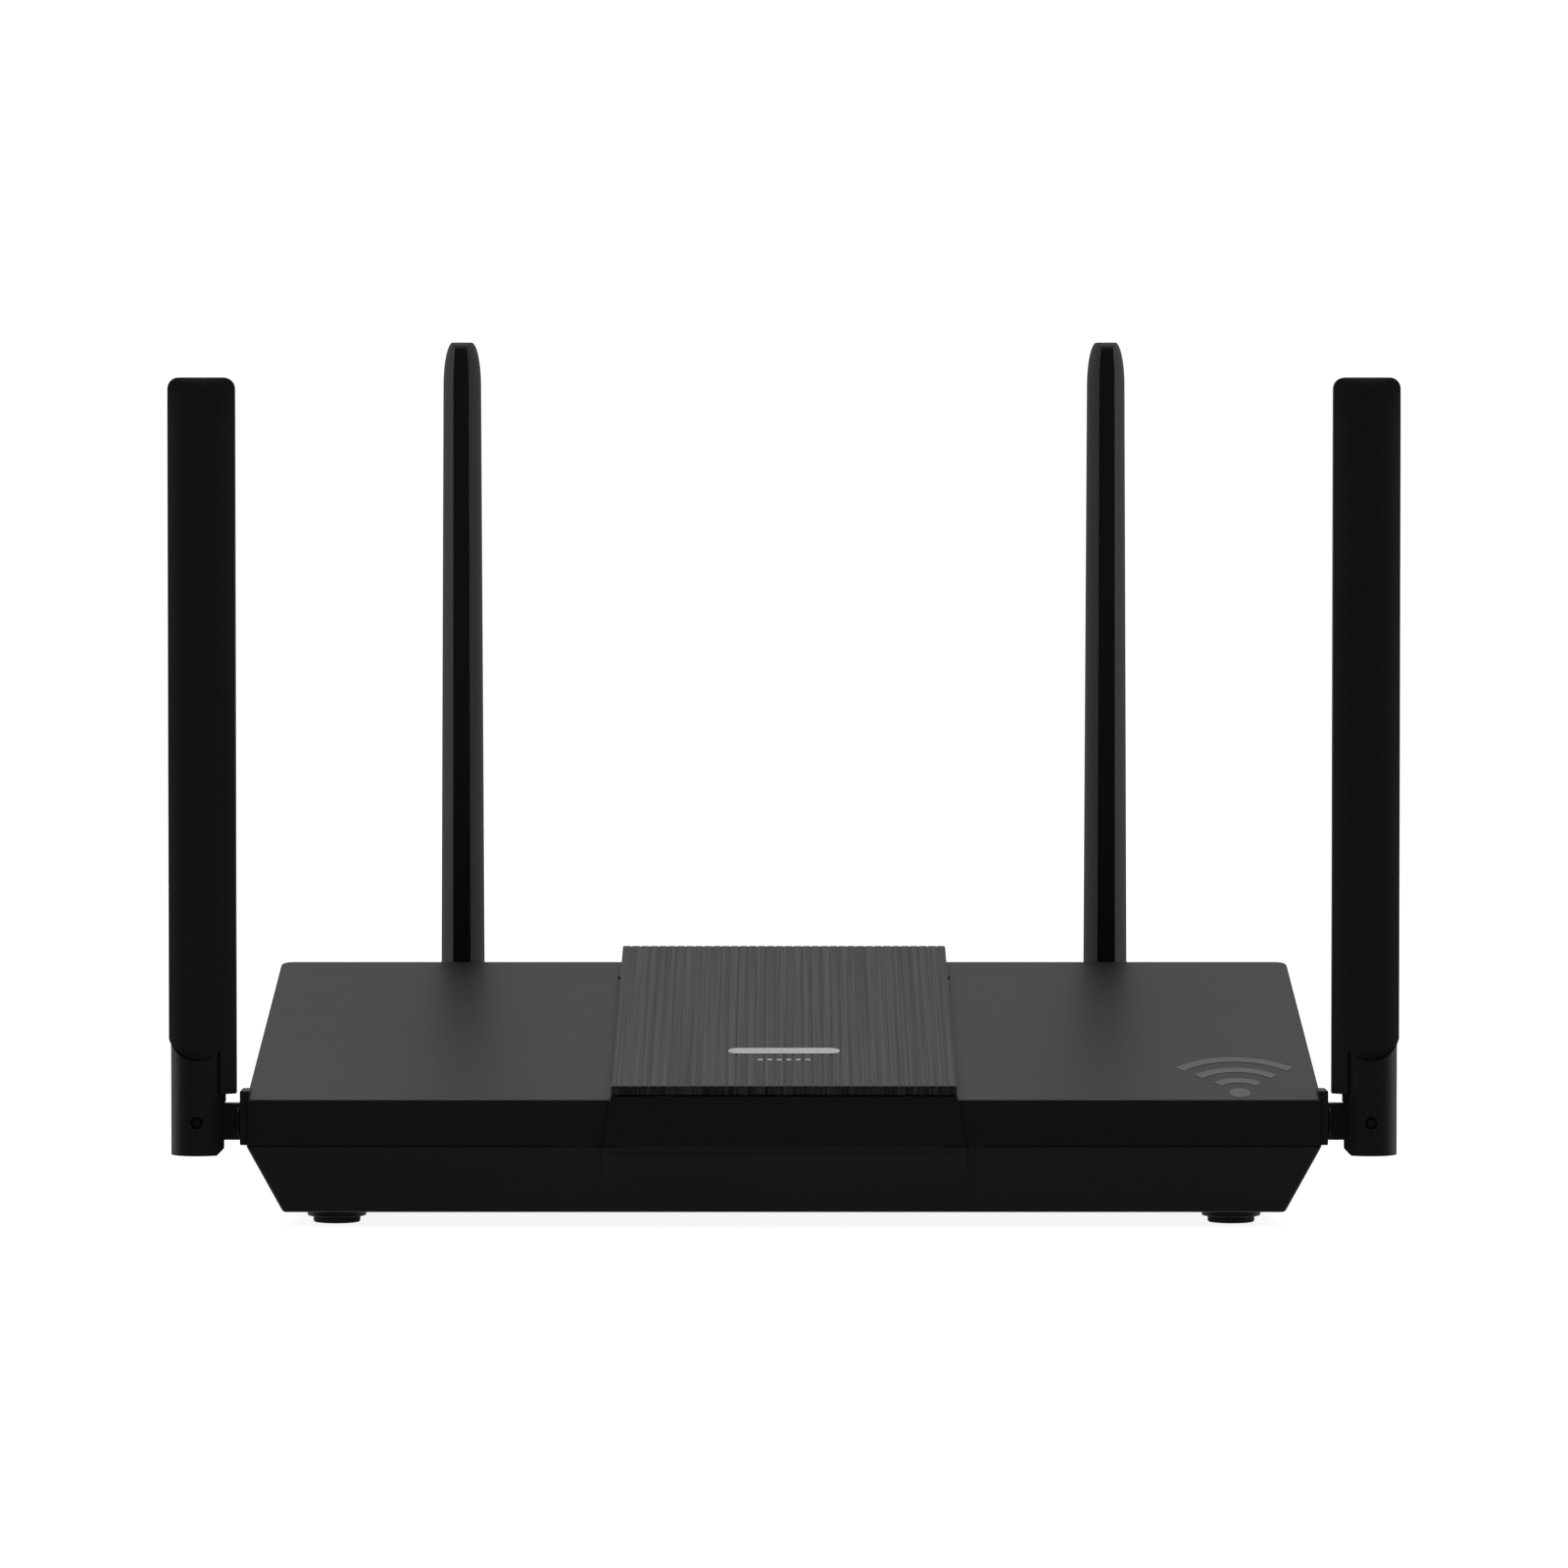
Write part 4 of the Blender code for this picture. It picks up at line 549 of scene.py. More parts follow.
def makeCover(size):
    piece = wedge("upperCover", 0.0, 0.0, seam + body["seamGap"] / 2)
    roundUprights(piece)
    roundEdges(
        piece, lambda a, b: min(a.z - topHeight(a.y), b.z - topHeight(b.y)) > -tiny, body["topEdge"], 4)
    roundEdges(piece, lambda a, b: max(a.z, b.z) < seam + body["seamGap"] / 2 + tiny, body["seamEdge"], 2)
    carve(piece, wedge("inside", wall, wall, seam - wall))
    unite(piece, sideEar(-1, size), sideEar(1, size))
    unite(piece, rearEar(hinges["rear_left"], size), rearEar(hinges["rear_right"], size))
    radius = size["holeRadius"]
    for corner, hinge in hinges.items():
        if corner.startswith("front"):
            side = math.copysign(1, hinge.x)
            start = Vector((side * (halfWidth - 2 * wall), hinge.y, hinge.z))
            carve(piece, startRod("hole", radius, start, start + Vector((side * 4 * wall, 0, 0))))
        else:
            start = Vector((hinge.x, rear - 2 * wall, hinge.z))
            carve(piece, startRod("hole", radius, start, start + Vector((0, 4 * wall, 0))))
    half = size["tabHalf"]
    carve(piece, startCube(
        "notch", (-half, front - wall, seam - wall), (half, front + wall + clear, tabTop + wall)))
    half = ioHalf + clear
    carve(piece, startCube(
        "notch", (-half, rear - 2 * wall, seam - wall), (half, rear + wall, ioTop + clear)))
    start, end = front + size["windowMargin"], rear - size["windowMargin"]
    length = (end - start - 2 * size["windowBar"]) / 3
    half = size["windowHalf"]
    for number in range(3):
        y = start + number * (length + size["windowBar"])
        carve(piece, startCube(
            "window", (-half, y, topHeight(y) - 2 * wall), (half, y + length, topHeight(y + length) + wall)))
    middle = (ioTop + topHeight(rear)) / 2
    slot = startCube(
        "slot", (-size["slotWidth"] / 2, rear - 2 * wall, middle - size["slotHeight"] / 2),
        (size["slotWidth"] / 2, rear + wall, middle + size["slotHeight"] / 2))
    roundEdges(slot, lambda a, b: abs(a.y - b.y) > wall, size["slotWidth"] * size["slotRound"], 4)
    slots = rowOf(slot, spread(size["slotCount"], size["slotPitch"]))
    carve(piece, slots)
    tidyMesh(piece)
    finish(piece, "case", looks["case"], "case", "upper_cover")


makeCover(coverSizes)
print("upper cover made")


# Lower case: a tub whose front and sides draw in, with a tab that stands up at the front

tubSizes = {
    "bottomEdge": 0.0006,
    "footBoss": 0.00715,
    "footBossDrop": 0.0014,
    "footBossEdge": 0.0003,
    "footRecess": 0.0010,
    "screwRecess": 0.0031,
    "screwRecessDepth": 0.0041,
    "slotLength": 0.026,
    "slotWidth": 0.0018,
    "slotPitch": 0.0045,
    "slotCount": 9,
    "slotBank": 0.043,
    "slotRound": 0.95,
    "tabFlare": 0.002,
    "tabThickness": 0.0024,
    "tabEdge": 0.0004,
    "tabGroove": 0.0055,
}


def tub(name, inset, bottom, top):
    # the tapering block, drawn in all round by the inset
    half = halfWidth - inset
    piece = startCube(name, (-half, front + inset, bottom), (half, rear - inset, top))
    draw = body["lowerInset"] * (seam - bottom) / lowerHeight
    scale = (half - draw) / half
    stretch(piece, lambda p: p.z < bottom + tiny, (scale, 1, 1), (0, 0, 0))
    shift(piece, lambda p: p.z < bottom + tiny and p.y < 0, (0, draw, 0))
    return piece


def makeTab(size):
    # upright above the seam, then sloping with the case below, and wider at the foot
    wide = coverSizes["tabHalf"] + size["tabFlare"]
    face = front - body["tabProud"]
    floorTop = footHeight + wall
    piece = startCube("tab", (-wide, face, floorTop), (wide, face + size["tabThickness"], tabTop))
    addRing(piece, (0, 0, seam - body["seamGap"]), (0, 0, 1))
    foot = front + body["lowerInset"] * (seam - floorTop) / lowerHeight + wall / 4
    shift(piece, lambda p: p.z < floorTop + tiny, (0, foot - face, 0))
    scale = coverSizes["tabHalf"] / wide
    stretch(piece, lambda p: p.z > tabTop - tiny, (scale, 1, 1), (0, 0, 0))
    roundEdges(
        piece, lambda a, b: min(a.z, b.z) > seam - wall and max(a.y, b.y) < face + tiny, size["tabEdge"], 3)
    return piece


def makeTub(size):
    top = seam - body["seamGap"] / 2
    piece = tub("lowerCase", 0.0, footHeight, top)
    roundUprights(piece)
    roundEdges(piece, lambda a, b: max(a.z, b.z) < footHeight + tiny, size["bottomEdge"], 4)
    roundEdges(piece, lambda a, b: min(a.z, b.z) > top - tiny, body["seamEdge"], 2)
    carve(piece, tub("inside", wall, footHeight + wall, seam + wall))

    # the tab, with a short groove at each end that carries on the seam
    tab = makeTab(size)
    past = coverSizes["tabHalf"] + 2 * size["tabFlare"]
    carve(tab, startCube("behind", (-past, front - clear, top), (past, front + 2 * wall, tabTop + wall)))
    unite(piece, tab)
    half = coverSizes["tabHalf"] - clear
    unite(piece, startCube(
        "tabBack", (-half, front - clear / 2, seam - wall), (half, front + wall - clear, tabTop)))
    for side in (-1, 1):
        outer = side * past
        inner = side * (coverSizes["tabHalf"] + size["tabFlare"] - size["tabGroove"])
        carve(piece, startCube(
            "groove", (min(inner, outer), front - wall, top),
            (max(inner, outer), front - body["tabProud"] / 2, seam + body["seamGap"] / 2)))

    # bosses under the feet, and the recesses for the pads and the screws
    bottom = footHeight - size["footBossDrop"]
    for corner in hinges:
        low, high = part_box("foot_" + corner)
        middle, radius = floorUnder("foot_" + corner), (high.x - low.x) / 2 + clear
        boss = startRod("boss", size["footBoss"], middle + up(bottom), middle + up(footHeight + wall / 2), 96)
        roundEdges(boss, lambda a, b: max(a.z, b.z) < bottom + tiny, size["footBossEdge"], 3)
        unite(piece, boss)
        carve(piece, startRod("recess", radius, middle, middle + up(bottom + size["footRecess"]), 96))
    for number in (1, 2, 3, 4):
        middle, roof = floorUnder(f"case_screw_{number}"), footHeight + size["screwRecessDepth"]
        start, end = middle + up(footHeight + wall / 2), middle + up(roof + 2 * wall)
        unite(piece, startRod("boss", size["screwRecess"] + wall, start, end))
        carve(piece, startRod("recess", size["screwRecess"], middle, middle + up(roof)))

    # two banks of air slots
    middle = (front + rear) / 2
    length, width = size["slotLength"] / 2, size["slotWidth"] / 2
    slot = startCube("slot", (-length, -width, 0), (length, width, footHeight + 2 * wall))
    roundEdges(slot, lambda a, b: abs(a.z - b.z) > wall, width * size["slotRound"], 5)
    ways = []
    for bank in (-1, 1):
        for step in range(size["slotCount"]):
            y = middle + (step - (size["slotCount"] - 1) / 2) * size["slotPitch"]
            ways.append((bank * size["slotBank"], y, 0))
    carve(piece, rowOf(slot, ways))
    half = ioHalf + clear
    carve(piece, startCube(
        "notch", (-half, rear - 2 * wall, ioBottom - clear), (half, rear + wall, seam + 2 * wall)))
    tidyMesh(piece)
    finish(piece, "case", looks["case"], "case", "lower_case")


makeTub(tubSizes)
print("lower case made")


# Ribbed panel along the middle of the top

panelSizes = {
    "ribs": 36,
    "pitch": 0.00232,
    "grooveWidth": 0.0005,
    "grooveDepth": 0.00014,
    "rise": 0.0035,
    "skin": 0.0015,
    "ribEdge": 0.0001,
    "nub": 0.0007,
    "nubRound": 0.9,
    "nubFromFront": 0.114,
}


def makePanel(size):
    # one rib with half a groove on each side, repeated across and closed at the ends
    half = size["ribs"] * size["pitch"] / 2
    start, end = panelLow.y, panelHigh.y
    pitch, groove = size["pitch"], size["grooveWidth"] / 2
    left = -half
    top = topHeight(start) + size["rise"]
    bottom = topHeight(start) + clear
    rib = startCube("centerPanel", (left, start, bottom), (left + pitch, end, top))
    for place in (groove / 2, groove, pitch - groove, pitch - groove / 2):
        addRing(rib, (left + place, 0, 0), (1, 0, 0))

    def inGroove(p):
        return p.x < left + groove * 0.75 or p.x > left + pitch - groove * 0.75

    def atEnd(middle, normal):
        return abs(normal.x) > 0.99 and abs(middle.x - left - pitch / 2) > pitch / 2 - tiny

    shift(rib, lambda p: p.z > top - tiny and inGroove(p), (0, 0, -size["grooveDepth"]))
    roundEdges(
        rib,
        lambda a, b: min(a.z, b.z) > top - tiny and abs(a.x - b.x) < tiny and not inGroove(a),
        size["ribEdge"], 3)
    pick(rib, "FACE", atEnd)
    bpy.ops.mesh.delete(type="FACE")
    leave()
    shift(rib, lambda p: p.y > 0, (0, 0, slope * (end - start)))
    modify(
        rib, "ARRAY", count=size["ribs"], use_relative_offset=False, use_constant_offset=True,
        constant_offset_displace=(pitch, 0, 0), use_merge_vertices=True, merge_threshold=0.00001)
    for side in (-1, 1):
        pick(rib, "EDGE", lambda a, b: abs(a.x - side * half) < tiny and abs(b.x - side * half) < tiny)
        bpy.ops.mesh.edge_face_add()
        leave()
    pick(rib, "FACE", lambda middle, normal: True)
    bpy.ops.mesh.normals_make_consistent(inside=False)
    leave()

    pocketFront, pocketRear = front + 2 * wall, rear - wall
    pocket = startCube(
        "pocket", (-half + wall, pocketFront, topHeight(pocketFront) - wall),
        (half - wall, pocketRear, topHeight(pocketFront) + size["rise"] - size["skin"]))
    shift(pocket, lambda p: p.y > 0, (0, 0, slope * (pocketRear - pocketFront)))
    carve(rib, pocket)
    carve(rib, startCube(
        "overTab", (-halfWidth, front - 2 * wall, tabTop - 2 * wall),
        (halfWidth, front + wall + clear, tabTop + clear)))
    y = front + size["nubFromFront"]
    reach = Vector((size["nub"], 2 * size["nub"], size["nub"]))
    for side in (-1, 1):
        middle = Vector((side * half, y, topHeight(y) + size["rise"] / 2))
        nub = startCube("nub", middle - reach, middle + reach)
        roundEdges(nub, lambda a, b: True, size["nub"] * size["nubRound"], 5)
        unite(rib, nub)
    tidyMesh(rib)
    finish(rib, "case", looks["panel"], "panel", "center_panel")


makePanel(panelSizes)
print("ribbed panel made")


# Antenna: modelled once round its tilt pin, with the pin along Y and the wall towards -X

antennaLow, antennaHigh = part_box("antenna_front_right")
atPin = hinges["front_right"]
antennaSizes = {
    "inner": atPin.x - antennaLow.x,
    "outer": antennaHigh.x - atPin.x,
    "length": antennaHigh.z - atPin.z,
    "drop": atPin.z - antennaLow.z,
    "knuckle": (antennaHigh.y - antennaLow.y) / 2,
    "rootThickness": 0.0113,
    "topThickness": 0.0098,
    "tipThickness": 0.0057,
    "edgeFlat": 0.0046,
    "tipTaper": 0.0110,
    "tipCorner": 0.0027,
    "tipSweep": 78.0,
    "tipSteps": 7,
    "columns": 20,
    "scoopRadius": 0.0073,
    "scoopBottom": 0.0149,
    "core": 0.0044,
    "webBottom": 0.0068,
    "innerStrip": 0.0056,
    "chamfer": 0.0019,
    "slotWidth": 0.0056,
    "slotRoom": 0.00475,
    "pinHole": 0.00145,
    "baseEdge": 0.00015,
    "rimEdge": 0.0006,
}


def makeBlade(size):
    half = (size["inner"] + size["outer"]) / 2
    middle = (size["outer"] - size["inner"]) / 2
    root = size["webBottom"]
    flat = size["edgeFlat"] / 2
    blade = startCube("antenna", (-size["inner"], -flat, root), (size["outer"], flat, size["length"]))
    roundEdges(
        blade, lambda a, b: min(a.z, b.z) > root + wall and abs(a.y - b.y) > tiny, size["tipCorner"], 8)
    for step in range(1, size["columns"]):
        addRing(blade, (middle + (2 * step / size["columns"] - 1) * half, 0, 0), (1, 0, 0))
    # the faces thin towards the tip and then close over it as a quarter of an oval
    taper = size["length"] - size["tipTaper"]
    sweep = math.radians(size["tipSweep"])

    def thickness(height):
        if height <= taper:
            share = max(0.0, (height - size["scoopBottom"]) / (taper - size["scoopBottom"]))
            return size["rootThickness"] + (size["topThickness"] - size["rootThickness"]) * share
        angle = math.asin(min(1.0, (height - taper) / size["tipTaper"]) * math.sin(sweep))
        share = (1 - math.cos(angle)) / (1 - math.cos(sweep))
        return size["topThickness"] - (size["topThickness"] - size["tipThickness"]) * share

    addRing(blade, (0, 0, size["scoopBottom"] + wall), (0, 0, 1))
    for step in range(size["tipSteps"]):
        height = taper + size["tipTaper"] * math.sin(sweep * step / size["tipSteps"]) / math.sin(sweep)
        addRing(blade, (0, 0, height), (0, 0, 1))
    bulge = size["rootThickness"] / 2 - flat
    for u in {round(vertex.co.x, 6) for vertex in blade.data.vertices}:
        out = bulge * max(0.0, 1 - ((u - middle) / half) ** 2)
        for side in (-1, 1):
            shift(blade, lambda p: round(p.x, 6) == u and p.y * side > 0, (0, side * out, 0))
    for height in {round(vertex.co.z, 6) for vertex in blade.data.vertices}:
        scale = thickness(height) / size["rootThickness"]
        stretch(blade, lambda p: round(p.z, 6) == height, (1, scale, 1), (0, 0, height))
    return blade


def makeAntenna(size):
    blade = makeBlade(size)
    radius, knuckle = size["scoopRadius"], size["knuckle"]
    centre = size["scoopBottom"] + radius
    deep = 2 * knuckle

    def scoop(wide):
        return startRod("scoop", wide, (0, -deep, centre), (0, deep, centre), 96)

    # below its U-shaped end the blade keeps its inner edge and the core
    under = startCube("under", (-size["innerStrip"], -deep, 0), (2 * size["inner"], deep, centre))
    core = startCube("core", (-size["core"], -2 * deep, -wall), (size["core"], 2 * deep, 2 * centre))
    carve(under, scoop(radius), core)
    carve(blade, under)

    base = startRod("knuckle", knuckle, (0, 0, -size["drop"]), (0, 0, centre), 96)
    roundEdges(base, lambda a, b: max(a.z, b.z) < -size["drop"] + tiny, size["baseEdge"], 2)
    overlap = 5 * tiny
    carve(base, scoop(radius - overlap))

    def onRim(p):
        fromSide = math.hypot(p.x, p.y) - knuckle
        fromScoop = math.hypot(p.x, p.z - centre) - radius + overlap
        return abs(fromSide) < 3 * tiny and abs(fromScoop) < 3 * tiny

    roundEdges(base, lambda a, b: onRim(a) and onRim(b), size["rimEdge"], 4)

    # the lower corner nearest the case is cut off on the slant
    low = -size["drop"] - wall
    slant = size["chamfer"] + 2 * wall
    corner = startCube(
        "corner", (-knuckle - 2 * wall, -deep, low), (slant - wall - knuckle, deep, low + slant))
    shift(corner, lambda p: p.x > -knuckle and p.z > low + tiny, (-slant, 0, 0))
    room, half = size["slotRoom"], size["slotWidth"] / 2
    slot = startCube("slot", (-deep, -half, -2 * size["drop"]), (room, half, room))
    hole = startRod("hole", size["pinHole"], (0, -deep, 0), (0, deep, 0), 40)
    carve(base, corner, slot, hole)
    unite(blade, base)
    tidyMesh(blade)
    return blade


pinSizes = {"radius": 0.00115, "sunk": 0.00035, "edge": 0.0003}


def makePin(size):
    reach = antennaSizes["knuckle"] - size["sunk"]
    pin = startRod("hingePin", size["radius"], (0, -reach, 0), (0, reach, 0), 32)
    roundEdges(pin, lambda a, b: abs(a.y - b.y) < tiny, size["edge"], 3)
    tidyMesh(pin)
    return pin


swivelSizes = {
    "lug": 0.00445,
    "lugRound": 0.998,
    "thickness": 0.0050,
    "shoulder": 0.0005,
    "shoulderScale": 1.004,
    "shoulderEdge": 0.00015,
    "barrel": 0.0029,
    "rim": 0.0037,
    "rimLength": 0.0012,
    "rimEdge": 0.0003,
    "slit": 0.0012,
    "edge": 0.0004,
    "pinHole": 0.00117,
}


def makeSwivel(size):
    # a flat lug with a round end, and a split barrel that snaps through the wall
    reach = atPin.x - halfWidth
    wallFace = -reach + body["earProud"] + clear
    end = -reach - wall - clear - size["rimLength"]
    half, lug = size["thickness"] / 2, size["lug"]
    piece = startCube("swivel", (wallFace, -half, -lug), (lug, half, lug))
    roundEdges(piece, lambda a, b: min(a.x, b.x) > 0 and abs(a.y - b.y) > tiny, lug * size["lugRound"], 16)
    roundEdges(
        piece, lambda a, b: abs(a.y - b.y) < tiny and max(a.x, b.x) > wallFace + tiny, size["edge"], 4)
    shoulder = startRod(
        "shoulder", lug * size["shoulderScale"],
        (wallFace - clear / 2, 0, 0), (wallFace + size["shoulder"], 0, 0), 64)
    roundEdges(shoulder, lambda a, b: abs(a.x - b.x) < tiny, size["shoulderEdge"], 2)
    barrel = startRod(
        "barrel", size["barrel"], (end + tiny, 0, 0), (wallFace + size["shoulder"] / 2, 0, 0))
    rim = startRod("rim", size["rim"], (end, 0, 0), (end + size["rimLength"], 0, 0))
    roundEdges(rim, lambda a, b: abs(a.x - b.x) < tiny, size["rimEdge"], 2)
    unite(piece, shoulder, barrel, rim)
    slit = size["slit"] / 2
    carve(piece, startCube(
        "slit", (end - wall, -slit, -2 * lug), (end + size["rimLength"] + wall, slit, 2 * lug)))
    carve(piece, startRod("hole", size["pinHole"], (0, -2 * half, 0), (0, 2 * half, 0), 40))
    tidyMesh(piece)
    return piece


masters = {
    "antenna": makeAntenna(antennaSizes),
    "pin": makePin(pinSizes),
    "swivel": makeSwivel(swivelSizes),
}
for corner, hinge in hinges.items():
    antenna = copyOf(masters["antenna"], "antenna" + camel(corner), hinge, turns[corner])
    finish(antenna, corner + "_antenna", looks["antenna"], "antenna", "antenna_" + corner)
    pin = copyOf(masters["pin"], "hingePin" + camel(corner), hinge, turns[corner])
    finish(pin, corner + "_antenna", looks["hinge"], "hinge", "hinge_pin_" + corner)
    swivel = copyOf(masters["swivel"], "swivel" + camel(corner), hinge, turns[corner])
    finish(swivel, corner + "_swivel", looks["hinge"], "hinge", "swivel_" + corner)
for master in masters.values():
    bpy.data.objects.remove(master)
print("antennas made")


# Rubber feet

footSizes = {"edge": 0.0005, "rim": 0.0012, "step": 0.0004, "dish": 0.0002}


def makeFeet(size):
    for corner in hinges:
        low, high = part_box("foot_" + corner)
        middle = floorUnder("foot_" + corner)
        pad = startRod("foot" + camel(corner), (high.x - low.x) / 2, middle, middle + up(high.z), 96)
        roundEdges(pad, lambda a, b: max(a.z, b.z) < tiny, size["edge"], 5)
        pick(pad, "FACE", lambda centre, normal: normal.z < -0.999)
        bpy.ops.mesh.inset(thickness=size["rim"])
        bpy.ops.mesh.inset(thickness=size["step"], depth=-size["dish"])
        leave()
        tidyMesh(pad)
        finish(pad, "case", looks["rubber"], "rubber", "foot_" + corner)


makeFeet(footSizes)
print("feet made")


# Screws in the underside: a pan head with a cross, driven upwards

screwSizes = {
    "head": 0.0028,
    "headHeight": 0.0018,
    "headEdge": 0.0005,
    "shank": 0.0013,
    "shankEdge": 0.0004,
    "arm": 0.0017,
    "armWidth": 0.0007,
    "armDepth": 0.0010,
}


def makeScrews(size):
    for number in (1, 2, 3, 4):
        node = f"case_screw_{number}"
        low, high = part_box(node)
        floor, height = floorUnder(node), size["headHeight"]
        middle = floor + up(low.z)
        piece = startRod(f"caseScrew{number}", size["head"], middle, middle + up(height), 48)
        roundEdges(piece, lambda a, b: max(a.z, b.z) < low.z + tiny, size["headEdge"], 4)
        shank = startRod("shank", size["shank"], middle + up(height / 2), floor + up(high.z), 24)
        roundEdges(shank, lambda a, b: min(a.z, b.z) > high.z - tiny, size["shankEdge"], 2)
        unite(piece, shank)
        for long, short in (("arm", "armWidth"), ("armWidth", "arm")):
            arm = Vector((size[long], size[short], size["armDepth"]))
            carve(piece, startCube("arm", middle - arm, middle + arm))
        tidyMesh(piece)
        finish(piece, "case", looks["steel"], "steel", node)


makeScrews(screwSizes)
print("screws made")


# Back row: the plate, its sockets with their contacts, and the controls

plateSizes = {"edge": 0.0004, "flange": 0.0012, "windowEdge": 0.0003, "resetHole": 0.0008}


def makeRearPanel(size, windows, buttons):
    piece = startCube("rearPanel", (-ioHalf, ioLow.y + ioFlange / 2, ioBottom), (ioHalf, ioHigh.y, ioTop))
    roundEdges(piece, lambda a, b: min(a.y, b.y) > ioHigh.y - tiny, size["edge"], 3)
    half, behind = ioHalf + ioFlange, ioLow.y + size["flange"]
    unite(piece, startCube(
        "flange", (-half, ioLow.y, ioBottom - ioFlange), (half, behind, ioTop + ioFlange)))
    room = Vector((clear, 0, clear))
    inside, outside = ioLow.y - wall, ioHigh.y + wall
    for name in windows:
        low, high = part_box(name)
        low, high = low - room, high + room
        hole = startCube("window", (low.x, inside, low.z), (high.x, outside, high.z))
        roundEdges(hole, lambda a, b: abs(a.y - b.y) > wall, size["windowEdge"], 3)
        carve(piece, hole)
    for name in buttons:
        low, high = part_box(name)
        x, z = (low.x + high.x) / 2, (low.z + high.z) / 2
        radius = size["resetHole"] if name == "reset_button" else (high.x - low.x) / 2 + clear
        carve(piece, startRod("hole", radius, (x, inside, z), (x, outside, z)))
    tidyMesh(piece)
    finish(piece, "case", looks["case"], "case", "rear_panel")


socketSizes = {
    "floor": 0.0012,
    "boreWidth": 0.0120,
    "boreHeight": 0.0082,
    "boreDepth": 0.0150,
    "latchWidth": 0.0062,
    "latchHeight": 0.0022,
    "latchDepth": 0.0090,
    "keyWidth": 0.0034,
    "keyDepth": 0.6,
    "contacts": 8,
    "contactPitch": 0.00102,
    "contactWidth": 0.00035,
    "contactHeight": 0.0004,
    "contactRoom": 0.0003,
    "contactLength": 0.0105,
    "contactBend": 0.0065,
    "contactDrop": 0.0034,
    "contactEdge": 0.00008,
    "rim": 0.0002,
    "edge": 0.0003,
}


def makeJack(node, size):
    low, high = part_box(node)
    x, face = (low.x + high.x) / 2, high.y
    piece = startCube("socket" + camel(node), low, high)
    roundEdges(piece, lambda a, b: min(a.y, b.y) > face - tiny, size["rim"], 2)
    step = low.z + size["floor"]
    sill = step + size["latchHeight"]
    roof = sill + size["boreHeight"]
    half, start = size["boreWidth"] / 2, face - size["boreDepth"]
    bore = startCube("bore", (x - half, start, sill), (x + half, face + wall, roof))
    roundEdges(bore, lambda a, b: abs(a.y - b.y) > wall, size["edge"], 3)
    half, back = size["latchWidth"] / 2, face - size["latchDepth"]
    latch = startCube("latch", (x - half, back, step), (x + half, face + wall, sill + wall))
    half, bottom = size["keyWidth"] / 2, step - size["floor"] * size["keyDepth"]
    key = startCube("key", (x - half, back, bottom), (x + half, face + wall, step + wall))
    carve(piece, bore, latch, key)
    tidyMesh(piece)
    finish(piece, "case", looks["socket"], "socket", node)

    # gilt springs that slope down from the roof of the space
    half, top = size["contactWidth"] / 2, roof - size["contactRoom"]
    spring = startCube(
        "contacts" + camel(node), (x - half, start, top - size["contactHeight"]),
        (x + half, start + size["contactLength"], top))
    addRing(spring, (0, start + size["contactBend"], 0), (0, 1, 0))
    shift(spring, lambda p: p.y < start + tiny, (0, 0, -size["contactDrop"]))
    roundEdges(spring, lambda a, b: abs(a.x - b.x) < tiny, size["contactEdge"], 1)
    row = rowOf(spring, spread(size["contacts"], size["contactPitch"]))
    tidyMesh(row)
    finish(row, "case", looks["gold"], "steel")


dcSizes = {
    "bore": 0.0032,
    "depth": 0.0100,
    "mouthScale": 1.12,
    "mouthDepth": 0.0006,
    "pin": 0.0010,
    "pinSunk": 0.0010,
    "pinEdge": 0.0004,
    "edge": 0.0003,
}


def makeDcJack(size):
    low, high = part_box("dc_jack")
    middle = Vector(((low.x + high.x) / 2, high.y, (low.z + high.z) / 2))
    depth = Vector((0, size["depth"], 0))
    piece = startCube("socketDc", low, high)
    roundEdges(piece, lambda a, b: min(a.y, b.y) > high.y - tiny, size["edge"], 3)
    bore = startRod("bore", size["bore"], middle - depth, middle + depth, 64)
    lip = Vector((0, size["mouthDepth"], 0))
    mouth = startRod("mouth", size["bore"] * size["mouthScale"], middle - lip, middle + depth, 64)
    carve(piece, bore, mouth)
    tidyMesh(piece)
    finish(piece, "case", looks["socket"], "socket", "dc_jack")
    sunk = Vector((0, size["pinSunk"], 0))
    pin = startRod("dcPin", size["pin"], middle - depth - sunk, middle - sunk, 32)
    roundEdges(pin, lambda a, b: min(a.y, b.y) > middle.y - wall, size["pinEdge"], 3)
    tidyMesh(pin)
    finish(pin, "case", looks["steel"], "steel")


buttonSizes = {
    "caps": {"power": 0.0035, "wps": 0.0024, "reset": 0.0011},
    "dishes": {"power": 0.0003, "wps": 0.0002, "reset": 0.0001},
    "depth": 0.0050,
    "stem": 0.0011,
    "edge": 0.16,
    "rim": 0.20,
    "slope": 0.12,
}


